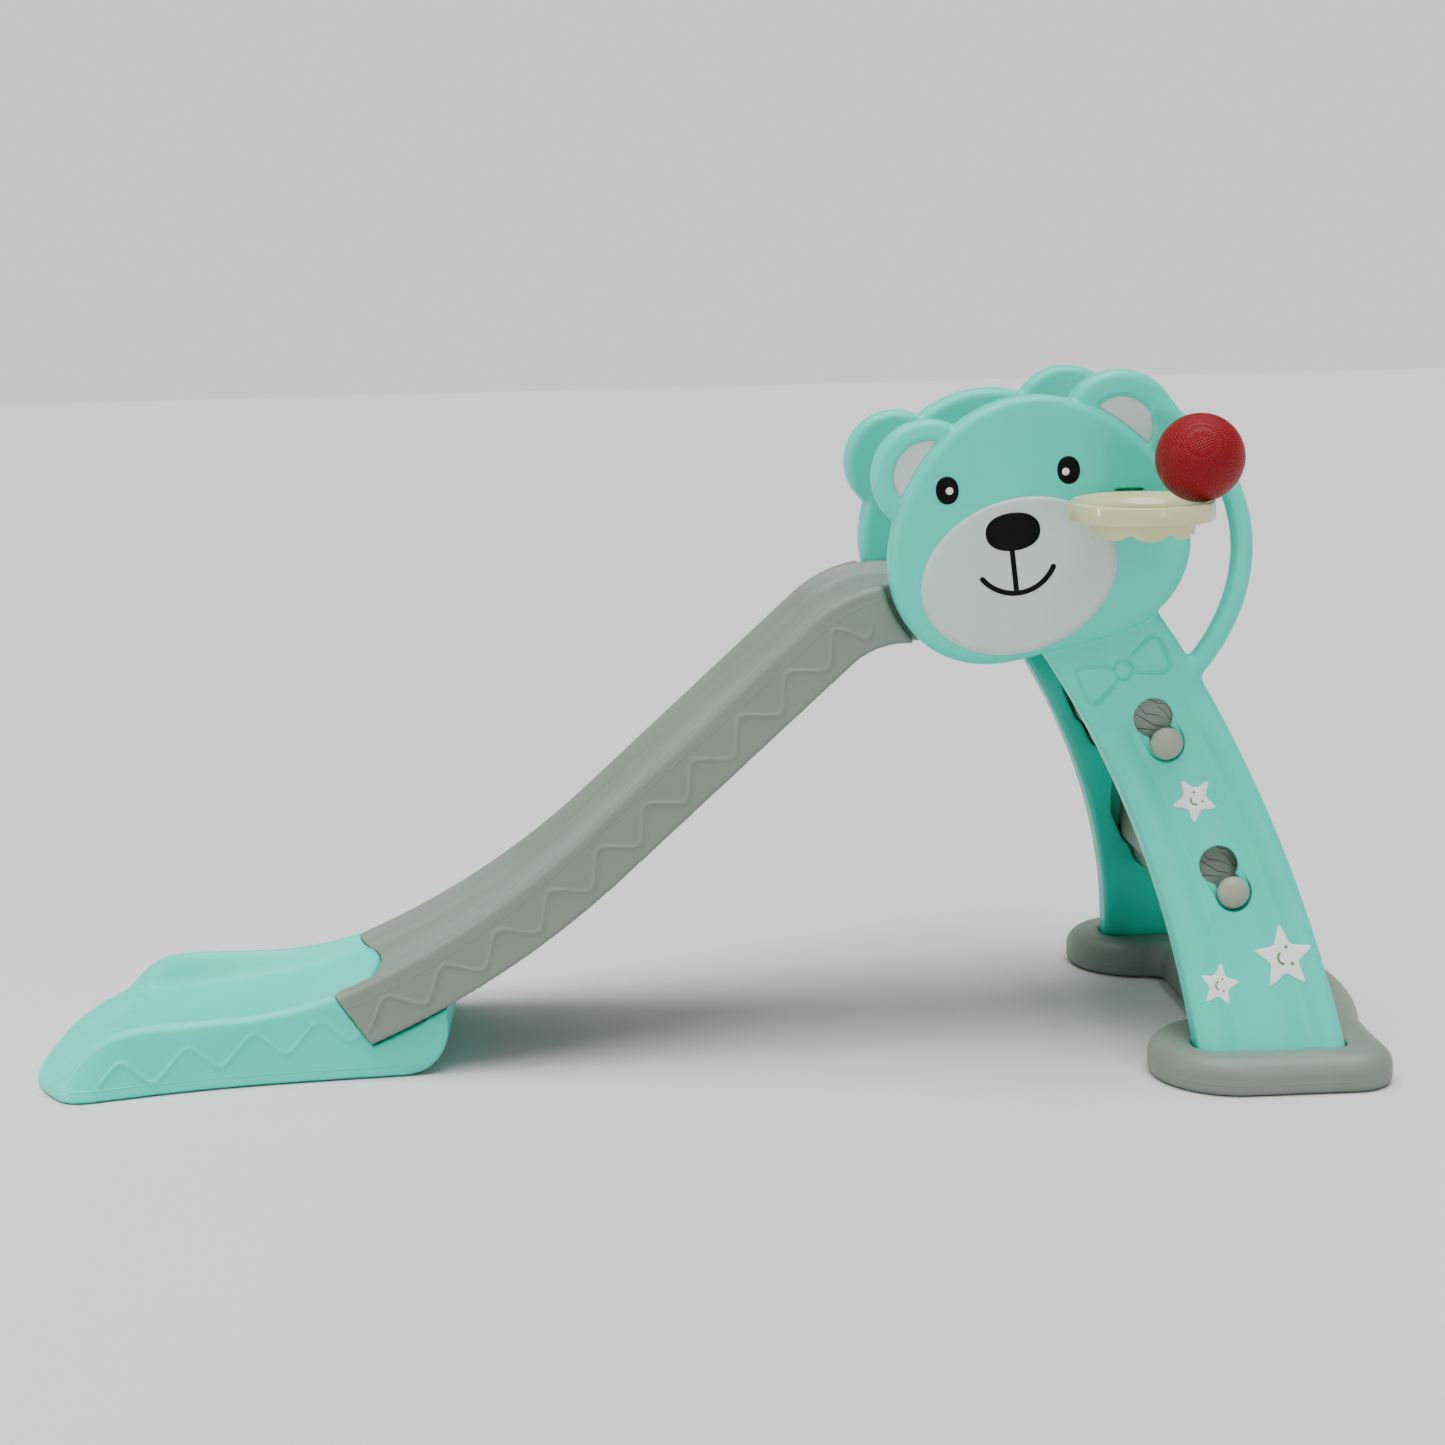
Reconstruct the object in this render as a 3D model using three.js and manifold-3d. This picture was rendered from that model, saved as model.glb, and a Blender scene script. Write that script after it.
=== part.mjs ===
// Toddler slide with two bear-head side panels, a two-piece chute, two steps and a ball hoop.
// Millimetres, +Z up. +X runs from the chute's exit towards the climbing side.
// Inside this file y = 0 is the slide's middle plane and z = 0 is the floor.
import * as THREE from 'three';
import { mergeVertices } from 'three/addons/utils/BufferGeometryUtils.js';
import Module from 'manifold-3d';

const wasm = await Module();
wasm.setup();

// ---- driving dimensions -------------------------------------------------------------------
const GAP = 0.3; // between pieces that touch
const NEAR = -1; // side of the slide that carries the hoop
const FAR = 1;

// side panels: a head plate above a curved leg
const PANEL = { outer: 170, thick: 43, edge: 9 };
// The head's outline is a circle with ripples, each with its count, height and place in degrees.
const HEAD = {
  x: 338, z: 578, r: 149, ripples: [[1, 2.2, 5], [2, 11.9, 14.5], [3, 9.6, -17.7], [4, 1.5, -26.5]],
};
const EAR_FRONT = { x: 228, z: 641, r: 60 };
const EAR_BACK = { x: 430, z: 686, r: 62 };
const EAR_THICK = 37;
const LEG = { top: 480, foot: 8, neckOuter: 159, flare: 118, flareTop: 400, power: 1.75 };
const NECK = { inset: 10, from: 380, to: 440 }; // the inner face moves outwards to clear the deck
const LEG_LEFT = { x: -351.5, z: -31.5, r: 850 }; // circle that the front edge follows
const LEG_RIGHT = { x: -373, z: -110, r: 1037 }; // circle that the back edge follows
const HANDLE = { width: 22, depth: 32, y: 148.5 };
const HANDLE_PATH = [
  [470, 706], [504, 683], [533, 649], [554, 610], [563.5, 560], [557.5, 512], [543, 474], [511, 427],
];

// base
const BASE = { height: 40, round: 14, footX: [450, 699], footY: [136, 312], frontRound: 88, backRound: 48 };
const BRIDGE = { front: 548, back: 685, bulge: 42, halfWidth: 190 };
const SOCKET_PLAY = 2;

// keyholes and steps
const KEYHOLE = { holeR: 20.8, slotR: 12.5, recessR: 19.8, travel: 31, lean: 26, opened: 0.8 };
const KNOBS = [
  { name: 'lower_step', x: 547, z: 190, recess: 8 },
  { name: 'upper_step', x: 481, z: 349, recess: 4.5 },
];
const KNOB = { r: 17.3, neckR: 10.5, length: 17 };
const STEP = {
  front: -43, back: 44, under: -26, top: 53, corner: 20, keelX: 2, keelZ: -31, keelR: 28, play: 1.5,
};
const POCKET_WALL = 3.4; // of the panel, outside the pocket that a step's end slides in

// chute: crest line of the side walls, as a flat deck, a curve, a straight run and a curve out
const DECK = { crest: 528, back: 440, halfWidth: 123 };
const RUN = { slope: 41.8, topRadius: 150, topStart: 202, footX: -148, exitSlope: 22, endLean: 36 };
const WALL = { crestHalf: 138, footHalf: 146, height: 65, floorHalf: 104, floorDrop: 17 };
const UNDER = { half: 94, thick: 18 };
const HEAD_CLEAR = 5;
const PIVOT = { x: 342, z: 490, tubeR: 12.5, wall: 2, play: 0.4, halfLength: 140 };
const REST = { x: 425, z: 452.2, tubeR: 10 };

// chute end
const END = { heel: -303, joint: -425, lip: -760, recess: 0.6 };
const END_SCREW = { x: -345, y: 118, headR: 7, head: 3, shankR: 3, length: 41, ceiling: 38, play: 0.5 };

// hoop and ball
const HOOP = {
  x: 433.5, z: 622, r: 73.5, lip: 13, band: 19.5,
  skirtR: 55, skirtEnd: 51.5, skirt: 37.5, wall: 3, droop: 2.8,
};
const TONGUE = { x: 438, width: 28, low: 18, high: 10, depth: 18, travel: 10 };
const BALL = { x: 486.6, y: -270, z: 660.4, r: 44.8 };

// printed films on the outer faces
const FILM = 0.5;
const MUZZLE = { x: 321, z: 535, a: 106, b: 81, tilt: 17.3 };
const EYES = [[245, 627], [373, 645]];
const EYE = { a: 14.5, b: 11, tilt: 97 };
const NOSE = { x: 314, z: 582, a: 29, b: 20, tilt: 10 };
const SMILE = { x: 319, z: 560, r: 45, spread: 58, line: 4.5, stemTop: [316, 563] };
const EAR_FILM_R = 37;
const STARS = [[510, 288, 24.5, 33], [596, 122.5, 32.5, 3], [524, 97.6, 21.3, -11]];

const TEAL = 0x7fcab9;
const GREY = 0x98a197;
const CREAM = 0xd9dcc2;
const RED = 0xa52d36;
const STEEL = 0xb9bcbc;
const PALE = 0xb0bfba;
const BLACK = 0x101112;

// ---- solids -------------------------------------------------------------------------------
function toSolid(source) {
  const geometry = source.index ? source.clone() : source;
  geometry.deleteAttribute('normal');
  geometry.deleteAttribute('uv');
  const merged = mergeVertices(geometry, 1e-4);
  return new wasm.Manifold(new wasm.Mesh({
    numProp: 3,
    vertProperties: new Float32Array(merged.attributes.position.array),
    triVerts: new Uint32Array(merged.index.array),
  }));
}

function toGeometry(solid) {
  const mesh = solid.getMesh();
  const geometry = new THREE.BufferGeometry();
  geometry.setAttribute('position', new THREE.BufferAttribute(mesh.vertProperties, 3));
  geometry.setIndex(new THREE.BufferAttribute(mesh.triVerts, 1));
  geometry.computeVertexNormals();
  return geometry;
}

function union(solids) {
  return solids.reduce((whole, piece) => whole.add(piece));
}

function subtract(solid, cutters) {
  return cutters.reduce((left, cutter) => left.subtract(cutter), solid);
}

// A skin through rings of equal length, closed by flat caps. Turned outwards by its volume.
function loft(rings) {
  const count = rings[0].length;
  const positions = rings.flat().flatMap((point) => point.toArray());
  const triangles = [];
  for (let i = 0; i + 1 < rings.length; i += 1) {
    for (let j = 0; j < count; j += 1) {
      const a = i * count + j;
      const b = i * count + ((j + 1) % count);
      triangles.push([a, b, a + count], [b, b + count, a + count]);
    }
  }
  const last = (rings.length - 1) * count;
  capTriangles(rings[0]).forEach(([a, b, c]) => triangles.push([a, c, b]));
  capTriangles(rings.at(-1)).forEach(([a, b, c]) => triangles.push([last + a, last + b, last + c]));
  const volume = triangles.reduce((sum, t) => {
    const [p, q, r] = t.map((k) => new THREE.Vector3().fromArray(positions, 3 * k));
    return sum + p.dot(q.cross(r));
  }, 0);
  const outward = volume > 0 ? triangles : triangles.map(([a, b, c]) => [a, c, b]);
  const geometry = new THREE.BufferGeometry();
  geometry.setAttribute('position', new THREE.Float32BufferAttribute(positions, 3));
  geometry.setIndex(outward.flat());
  return geometry;
}

// Triangles of one flat ring, wound the same way as the ring runs.
function capTriangles(ring) {
  const normal = new THREE.Vector3();
  ring.forEach((point, i) => {
    const next = ring[(i + 1) % ring.length];
    normal.add(point.clone().cross(next));
  });
  normal.normalize();
  const side = new THREE.Vector3(0, 1, 0);
  if (Math.abs(normal.y) > 0.9) {
    side.set(1, 0, 0);
  }
  const u = side.cross(normal).normalize();
  const v = normal.clone().cross(u);
  const flat = ring.map((point) => new THREE.Vector2(point.dot(u), point.dot(v)));
  return THREE.ShapeUtils.triangulateShape(flat, []);
}

// A shape drawn in X and Z, given thickness along Y from `inner` outwards on one side.
function plate(shape, inner, thick, edge, side, segments = 2, curve = 8) {
  const geometry = new THREE.ExtrudeGeometry(shape, {
    depth: thick - 2 * edge,
    bevelEnabled: edge > 0,
    bevelThickness: edge,
    bevelSize: edge,
    bevelOffset: -edge,
    bevelSegments: segments,
    curveSegments: curve,
  });
  geometry.rotateX(Math.PI / 2);
  geometry.translate(0, side === NEAR ? -inner - edge : inner + thick - edge, 0);
  return geometry;
}

function ellipse(x, z, a, b, tilt) {
  const shape = new THREE.Shape();
  shape.absellipse(x, z, a, b, 0, 2 * Math.PI, false, THREE.MathUtils.degToRad(tilt));
  return shape;
}

// The head's outline, grown by `play`.
function headOutline(play = 0, count = 64) {
  return new THREE.Shape(Array.from({ length: count }, (_, i) => {
    const angle = (2 * Math.PI * i) / count;
    const ripple = ([turns, height, place]) => (
      height * Math.cos(turns * (angle - THREE.MathUtils.degToRad(place)))
    );
    const r = HEAD.ripples.map(ripple).reduce((sum, height) => sum + height, HEAD.r + play);
    return new THREE.Vector2(HEAD.x + r * Math.cos(angle), HEAD.z + r * Math.sin(angle));
  }));
}

// A round bar along Y, from y0 to y1.
function barY(x, z, r, y0, y1, segments = 24) {
  const geometry = new THREE.CylinderGeometry(r, r, y1 - y0, segments);
  geometry.translate(x, (y0 + y1) / 2, z);
  return geometry;
}

function box(x0, x1, y0, y1, z0, z1) {
  const geometry = new THREE.BoxGeometry(x1 - x0, y1 - y0, z1 - z0);
  geometry.translate((x0 + x1) / 2, (y0 + y1) / 2, (z0 + z1) / 2);
  return geometry;
}

// ---- side panels --------------------------------------------------------------------------
function legOuter(z) {
  const drop = Math.max(0, LEG.flareTop - z) / LEG.flareTop;
  return LEG.neckOuter + LEG.flare * drop ** LEG.power;
}

function legInner(z) {
  return legOuter(z) - PANEL.thick + NECK.inset * THREE.MathUtils.smoothstep(z, NECK.from, NECK.to);
}

function legLean(z) {
  return (legOuter(z - 1) - legOuter(z + 1)) / 2;
}

function onCircle(circle, z) {
  return circle.x + Math.sqrt(circle.r ** 2 - (z - circle.z) ** 2);
}

// One level section of the leg, a rectangle with rounded corners, grown by `play`.
function legRing(z, side, play) {
  const x0 = onCircle(LEG_LEFT, z) - play;
  const x1 = onCircle(LEG_RIGHT, z) + play;
  const y1 = legOuter(z) + play;
  const y0 = legInner(z) - play;
  const r = PANEL.edge;
  const corners = [[x1 - r, y1 - r, 0], [x0 + r, y1 - r, 90], [x0 + r, y0 + r, 180], [x1 - r, y0 + r, 270]];
  return corners.flatMap(([x, y, start]) => [0, 45, 90].map((step) => {
    const angle = THREE.MathUtils.degToRad(start + step);
    return new THREE.Vector3(x + r * Math.cos(angle), side * (y + r * Math.sin(angle)), z);
  }));
}

function leg(side, z0, z1, count, play = 0) {
  const rings = [];
  for (let i = 0; i <= count; i += 1) {
    rings.push(legRing(z0 + ((z1 - z0) * i) / count, side, play));
  }
  return loft(rings);
}

function handle(side) {
  const curve = new THREE.CatmullRomCurve3(HANDLE_PATH.map(([x, z]) => new THREE.Vector3(x, 0, z)));
  const rings = curve.getSpacedPoints(18).map((point, i) => {
    const along = curve.getTangentAt(i / 18);
    const across = new THREE.Vector3(along.z, 0, -along.x);
    return Array.from({ length: 10 }, (_, k) => {
      const angle = (2 * Math.PI * k) / 10;
      return point.clone()
        .addScaledVector(across, (HANDLE.width / 2) * Math.cos(angle))
        .add(new THREE.Vector3(0, side * HANDLE.y + (HANDLE.depth / 2) * Math.sin(angle), 0));
    });
  });
  return loft(rings);
}

// Places along the keyhole, counted upwards from where the knob rests.
function upSlot(knob, distance) {
  const lean = THREE.MathUtils.degToRad(KEYHOLE.lean);
  return [knob.x - distance * Math.sin(lean), knob.z + distance * Math.cos(lean)];
}

// How far out the pocket for a step's end reaches.
function pocketFloor(knob) {
  const holeTop = upSlot(knob, KEYHOLE.travel)[1] + KEYHOLE.holeR;
  return legOuter(holeTop) - POCKET_WALL;
}

// The space beyond a leaning plane: above the entry hole the leg leans in, and the pocket and the
// step's end lean with it. `play` moves the plane inwards and `drop` lowers it. None where it is upright.
function beyondLean(knob, side, play, drop) {
  const low = upSlot(knob, KEYHOLE.travel)[1] + KEYHOLE.holeR;
  const high = upSlot(knob, KEYHOLE.travel)[1] + STEP.top + play;
  const lean = Math.atan2(legOuter(low) - legOuter(high), high - low);
  if (lean < 0.02) return [];
  const block = box(-90, 90, ...(side === NEAR ? [-60, 0] : [0, 60]), -20, 120);
  block.rotateX(side * lean);
  block.translate(knob.x, side * (pocketFloor(knob) - play), low - drop);
  return [toSolid(block)];
}

// Everything that a step's end needs as it slides up the keyhole, grown by `play`.
function sweptSection(knob, play) {
  const [dx, dz] = upSlot(knob, KEYHOLE.travel).map((value, i) => value - [knob.x, knob.z][i]);
  const r = STEP.corner + play;
  const arc = (x, z, radius, from, to) => Array.from({ length: 5 }, (_, i) => {
    const angle = THREE.MathUtils.degToRad(from + ((to - from) * i) / 4);
    return new THREE.Vector2(knob.x + x + radius * Math.cos(angle), knob.z + z + radius * Math.sin(angle));
  });
  const [left, right] = [STEP.front + STEP.corner, STEP.back - STEP.corner];
  const [low, high] = [STEP.under + STEP.corner, STEP.top - STEP.corner];
  return new THREE.Shape([
    ...arc(left, low, r, 180 + KEYHOLE.lean, 212),
    ...arc(STEP.keelX, STEP.keelZ, STEP.keelR + play, 212, 320),
    ...arc(right, low, r, 320, 360), ...arc(right, high, r, 0, KEYHOLE.lean),
    ...arc(right + dx, high + dz, r, KEYHOLE.lean, 90), ...arc(left + dx, high + dz, r, 90, 180),
    ...arc(left + dx, low + dz, r, 180, 180 + KEYHOLE.lean),
  ]);
}

// Entry hole, slot, the recess around the slot that the knob sits in, and the pocket behind them.
function keyholeCutters(knob, side) {
  const far = 320;
  const span = (y0, y1) => (side === NEAR ? [-y1, -y0] : [y0, y1]);
  const through = (x, z, r, y0) => toSolid(barY(x, z, r, ...span(y0, far), 20));
  const [holeX, holeZ] = upSlot(knob, KEYHOLE.travel);
  const slot = box(-KEYHOLE.slotR, KEYHOLE.slotR, ...span(60, far), 0, KEYHOLE.travel);
  const recessFloor = legOuter(knob.z) - knob.recess;
  const opened = KEYHOLE.travel * KEYHOLE.opened;
  const recess = box(-KEYHOLE.recessR, KEYHOLE.recessR, ...span(recessFloor, far), 0, opened);
  [slot, recess].forEach((geometry) => {
    geometry.rotateY(-THREE.MathUtils.degToRad(KEYHOLE.lean));
    geometry.translate(knob.x, 0, knob.z);
  });
  const inside = legInner(knob.z) - 60;
  const depth = pocketFloor(knob) - inside;
  const pocket = toSolid(plate(sweptSection(knob, STEP.play), inside, depth, 0, side));
  return [
    through(holeX, holeZ, KEYHOLE.holeR, 60),
    through(knob.x, knob.z, KEYHOLE.slotR, 60),
    through(knob.x, knob.z, KEYHOLE.recessR, recessFloor),
    toSolid(slot),
    toSolid(recess),
    subtract(pocket, beyondLean(knob, side, 0, 0)),
  ];
}

function hoopSlot() {
  const depth = PANEL.outer - TONGUE.depth - 1;
  const half = TONGUE.width / 2 + 1;
  const low = HOOP.z - TONGUE.low - 2 * GAP;
  const high = HOOP.z - TONGUE.high + TONGUE.travel + 2;
  return box(TONGUE.x - half, TONGUE.x + half, -PANEL.outer - 5, -depth, low, high);
}

function sidePanel(side) {
  const inner = PANEL.outer - PANEL.thick;
  const head = plate(headOutline(), inner, PANEL.thick, PANEL.edge, side);
  const ears = [EAR_FRONT, EAR_BACK].map(({ x, z, r }) => plate(ellipse(x, z, r, r, 0),
    inner, EAR_THICK, PANEL.edge, side, 2, 16));
  const pieces = [head, ...ears, leg(side, LEG.foot, LEG.top, 14), handle(side)].map(toSolid);
  const reach = PIVOT.halfLength + 1;
  const bores = [
    barY(PIVOT.x, PIVOT.z, PIVOT.tubeR + PIVOT.play, -reach, reach),
    barY(REST.x, REST.z, REST.tubeR + PIVOT.play, -reach, reach),
  ].map(toSolid);
  const cutters = [...bores, ...KNOBS.flatMap((knob) => keyholeCutters(knob, side))];
  if (side === NEAR) {
    cutters.push(toSolid(hoopSlot()));
  }
  return toGeometry(subtract(union(pieces), cutters));
}

// ---- base ---------------------------------------------------------------------------------
// A rectangle whose corners at x0 have radius r0 and those at x1 have radius r1.
function roundedRectangle(x0, x1, y0, y1, r0, r1 = r0) {
  const shape = new THREE.Shape();
  shape.absarc(x1 - r1, y0 + r1, r1, -Math.PI / 2, 0);
  shape.absarc(x1 - r1, y1 - r1, r1, 0, Math.PI / 2);
  shape.absarc(x0 + r0, y1 - r0, r0, Math.PI / 2, Math.PI);
  shape.absarc(x0 + r0, y0 + r0, r0, Math.PI, 1.5 * Math.PI);
  return shape;
}

function slab(shape) {
  const geometry = new THREE.ExtrudeGeometry(shape, {
    depth: BASE.height - 2 * BASE.round,
    bevelThickness: BASE.round,
    bevelSize: BASE.round,
    bevelOffset: -BASE.round,
    bevelSegments: 3,
    curveSegments: 6,
  });
  geometry.translate(0, 0, BASE.round);
  return geometry;
}

function basePlate() {
  const [x0, x1] = BASE.footX;
  const [y0, y1] = BASE.footY;
  const feet = [
    slab(roundedRectangle(x0, x1, -y1, -y0, BASE.frontRound, BASE.backRound)),
    slab(roundedRectangle(x0, x1, y0, y1, BASE.frontRound, BASE.backRound)),
  ];
  const half = BRIDGE.halfWidth;
  const bulgeRadius = (half ** 2 + BRIDGE.bulge ** 2) / (2 * BRIDGE.bulge);
  const centreX = BRIDGE.back + BRIDGE.bulge - bulgeRadius;
  const sweep = Math.asin(half / bulgeRadius);
  const bridge = new THREE.Shape();
  bridge.absarc(centreX, 0, bulgeRadius, -sweep, sweep);
  bridge.lineTo(BRIDGE.front, half);
  bridge.lineTo(BRIDGE.front, -half);
  const [socketLow, socketHigh] = [LEG.foot - SOCKET_PLAY, BASE.height + 30];
  const sockets = [NEAR, FAR].map((side) => leg(side, socketLow, socketHigh, 4, SOCKET_PLAY));
  const solid = union([...feet, slab(bridge)].map(toSolid));
  return toGeometry(subtract(solid, sockets.map(toSolid)));
}

// ---- steps --------------------------------------------------------------------------------
function stepBar(knob) {
  const half = pocketFloor(knob) - STEP.play;
  const shape = roundedRectangle(knob.x + STEP.front, knob.x + STEP.back, knob.z + STEP.under,
    knob.z + STEP.top, STEP.corner);
  const tread = plate(shape, -half, 2 * half, 4, FAR, 2, 4);
  const keel = barY(knob.x + STEP.keelX, knob.z + STEP.keelZ, STEP.keelR, -half + 3, half - 3, 20);
  const rise = upSlot(knob, KEYHOLE.travel)[1] - knob.z;
  const beyond = [NEAR, FAR].flatMap((side) => beyondLean(knob, side, STEP.play, rise));
  const pieces = [subtract(union([tread, keel].map(toSolid)), beyond)];
  [NEAR, FAR].forEach((side) => {
    const face = legOuter(knob.z) - knob.recess + GAP;
    const neck = [side * (half - 12), side * (face + 4)].sort((a, b) => a - b);
    pieces.push(toSolid(barY(knob.x, knob.z, KNOB.neckR, ...neck, 16)));
    const profile = [[0, 0], [KNOB.r - 2, 0], [KNOB.r, 2.5], [KNOB.r, 6], [KNOB.r * 0.93, 10.5],
      [KNOB.r * 0.72, 14], [KNOB.r * 0.4, 16.2], [0, KNOB.length]];
    const dome = new THREE.LatheGeometry(profile.map(([r, h]) => new THREE.Vector2(r, h)), 20);
    dome.rotateX(side === FAR ? 0 : Math.PI);
    dome.translate(knob.x, side * face, knob.z);
    pieces.push(toSolid(dome));
  });
  return toGeometry(union(pieces));
}

// ---- chute --------------------------------------------------------------------------------
// Crest line from the climbing side down to the joint: places with their slope in radians.
function crestLine() {
  const steep = THREE.MathUtils.degToRad(RUN.slope);
  const exit = THREE.MathUtils.degToRad(RUN.exitSlope);
  const stations = [DECK.back, PIVOT.x].map((x) => ({ x, z: DECK.crest, slope: 0 }));
  for (let i = 0; i <= 6; i += 1) {
    const slope = (steep * i) / 6;
    stations.push({
      x: RUN.topStart - RUN.topRadius * Math.sin(slope),
      z: DECK.crest - RUN.topRadius * (1 - Math.cos(slope)),
      slope,
    });
  }
  const top = stations.at(-1);
  const footZ = top.z - (top.x - RUN.footX) * Math.tan(steep);
  const footRadius = (RUN.footX - END.joint) / (Math.sin(steep) - Math.sin(exit));
  for (let i = 0; i <= 6; i += 1) {
    const slope = steep + ((exit - steep) * i) / 6;
    stations.push({
      x: RUN.footX - footRadius * (Math.sin(steep) - Math.sin(slope)),
      z: footZ - footRadius * (Math.cos(slope) - Math.cos(steep)),
      slope,
    });
  }
  stations.at(-1).lean = THREE.MathUtils.degToRad(RUN.endLean);
  return stations;
}

// A point at `height` above the crest line, square to it, or along a leaning end face.
function aboveCrest({ x, z, slope, lean = slope }, y, height) {
  const along = height / Math.cos(lean - slope);
  return new THREE.Vector3(x - along * Math.sin(lean), y, z + along * Math.cos(lean));
}

// Half of the chute's section as [half width, height above the crest], from outside to inside.
const CHUTE_SECTION = [
  [UNDER.half, -WALL.floorDrop - UNDER.thick], [UNDER.half + 8, -WALL.height],
  [WALL.footHalf, -WALL.height], [WALL.crestHalf + 4, -12], [WALL.crestHalf, -3],
  [WALL.crestHalf - 7, 0], [WALL.crestHalf - 14, -1], [WALL.floorHalf + 12, -10],
  [WALL.floorHalf, -WALL.floorDrop],
];

function chuteRing(station) {
  const left = CHUTE_SECTION.map(([y, height]) => [-y, height]).reverse();
  return [...CHUTE_SECTION, ...left].map(([y, height]) => aboveCrest(station, y, height));
}

function upperChute() {
  const body = toSolid(loft(crestLine().map(chuteRing)));
  const around = headOutline(HEAD_CLEAR);
  const cutters = [NEAR, FAR].flatMap((side) => [
    plate(around, DECK.halfWidth, 80, 0, side),
    side === NEAR
      ? box(300, 600, -DECK.halfWidth - 80, -DECK.halfWidth, 380, 600)
      : box(300, 600, DECK.halfWidth, DECK.halfWidth + 80, 380, 600),
  ]);
  cutters.push(barY(PIVOT.x, PIVOT.z, PIVOT.tubeR + PIVOT.play, -200, 200));
  cutters.push(...screwSides().map((y) => barZ(y, END_SCREW.shankR + END_SCREW.play, 0, 80)));
  return toGeometry(subtract(body, cutters.map(toSolid)));
}

// ---- chute end ----------------------------------------------------------------------------
// Stations of the chute end: crest and floor heights, half widths at crest, floor and ground.
const END_STATIONS = [
  { x: END.heel, crest: 150, floor: 133, crestHalf: 138, floorHalf: 104, groundHalf: 130, ground: 26 },
  { x: END.heel - 10, crest: 146, floor: 129, crestHalf: 138, floorHalf: 104, groundHalf: 133, ground: 8 },
  { x: END.heel - 40, crest: 131, floor: 114, crestHalf: 138, floorHalf: 104, groundHalf: 136, ground: 0 },
  { x: END.joint + 25, crest: 106, floor: 89, crestHalf: 138, floorHalf: 104, groundHalf: 141, ground: 0 },
  { x: END.joint, crest: 95, floor: 77, crestHalf: 138, floorHalf: 104, groundHalf: 143, ground: 0 },
  { x: END.joint - 40, crest: 84, floor: 64, crestHalf: 140, floorHalf: 107, groundHalf: 147, ground: 0 },
  { x: -510, crest: 77, floor: 54, crestHalf: 144, floorHalf: 110, groundHalf: 152, ground: 0 },
  { x: -560, crest: 75, floor: 47, crestHalf: 149, floorHalf: 114, groundHalf: 160, ground: 0 },
  { x: -620, crest: 74, floor: 40, crestHalf: 155, floorHalf: 122, groundHalf: 176, ground: 0 },
  { x: -650, crest: 70, floor: 36, crestHalf: 160, floorHalf: 128, groundHalf: 187, ground: 0 },
  { x: -680, crest: 57, floor: 33, crestHalf: 166, floorHalf: 136, groundHalf: 200, ground: 0 },
  { x: -697, crest: 43, floor: 31, crestHalf: 168, floorHalf: 138, groundHalf: 202, ground: 0 },
  { x: -712, crest: 30, floor: 28, crestHalf: 166, floorHalf: 138, groundHalf: 193, ground: 0 },
  { x: -732, crest: 27, floor: 25, crestHalf: 142, floorHalf: 116, groundHalf: 164, ground: 1 },
  { x: -750, crest: 25, floor: 23, crestHalf: 106, floorHalf: 80, groundHalf: 124, ground: 5 },
  { x: END.lip, crest: 20, floor: 18, crestHalf: 60, floorHalf: 38, groundHalf: 74, ground: 11 },
];

function endRing({ x, crest, floor, crestHalf, floorHalf, groundHalf, ground }) {
  const rise = crest - floor;
  const right = [
    [groundHalf - 8, ground], [groundHalf, ground + Math.min(7, 0.4 * (floor - ground))],
    [crestHalf + 5, crest - 0.22 * (crest - ground)], [crestHalf, crest - 0.06 * (crest - ground)],
    [crestHalf - 7, crest], [crestHalf - 14, crest - 0.05 * rise],
    [0.5 * (floorHalf + crestHalf) - 7, floor + 0.4 * rise], [floorHalf, floor],
  ];
  const left = right.map(([y, z]) => [-y, z]).reverse();
  return [...right, ...left].map(([y, z]) => new THREE.Vector3(x, y, z));
}

function screwSides() {
  return [-END_SCREW.y, END_SCREW.y];
}

// An upright round bar on the line of one of the two screws under the chute end.
function barZ(y, r, z0, z1) {
  const geometry = new THREE.CylinderGeometry(r, r, z1 - z0, 14);
  geometry.rotateX(Math.PI / 2);
  geometry.translate(END_SCREW.x, y, (z0 + z1) / 2);
  return geometry;
}

// The chute's lower end rests in a recess that is open above it and at both sides.
function chuteEnd() {
  const recess = loft(crestLine().slice(6).map((station) => [
    [-220, -WALL.height - END.recess], [220, -WALL.height - END.recess], [220, 90], [-220, 90],
  ].map(([y, height]) => aboveCrest(station, y, height).add(new THREE.Vector3(-END.recess, 0, 0)))));
  const { headR, shankR, play, ceiling } = END_SCREW;
  const bores = screwSides().flatMap((y) => [
    barZ(y, headR + 2, -5, ceiling), barZ(y, shankR + play, 0, 90),
  ]);
  return toGeometry(subtract(toSolid(loft(END_STATIONS.map(endRing))), [recess, ...bores].map(toSolid)));
}

// ---- hoop and ball ------------------------------------------------------------------------
const hoopY = -(PANEL.outer + 4 + HOOP.r);

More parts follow.
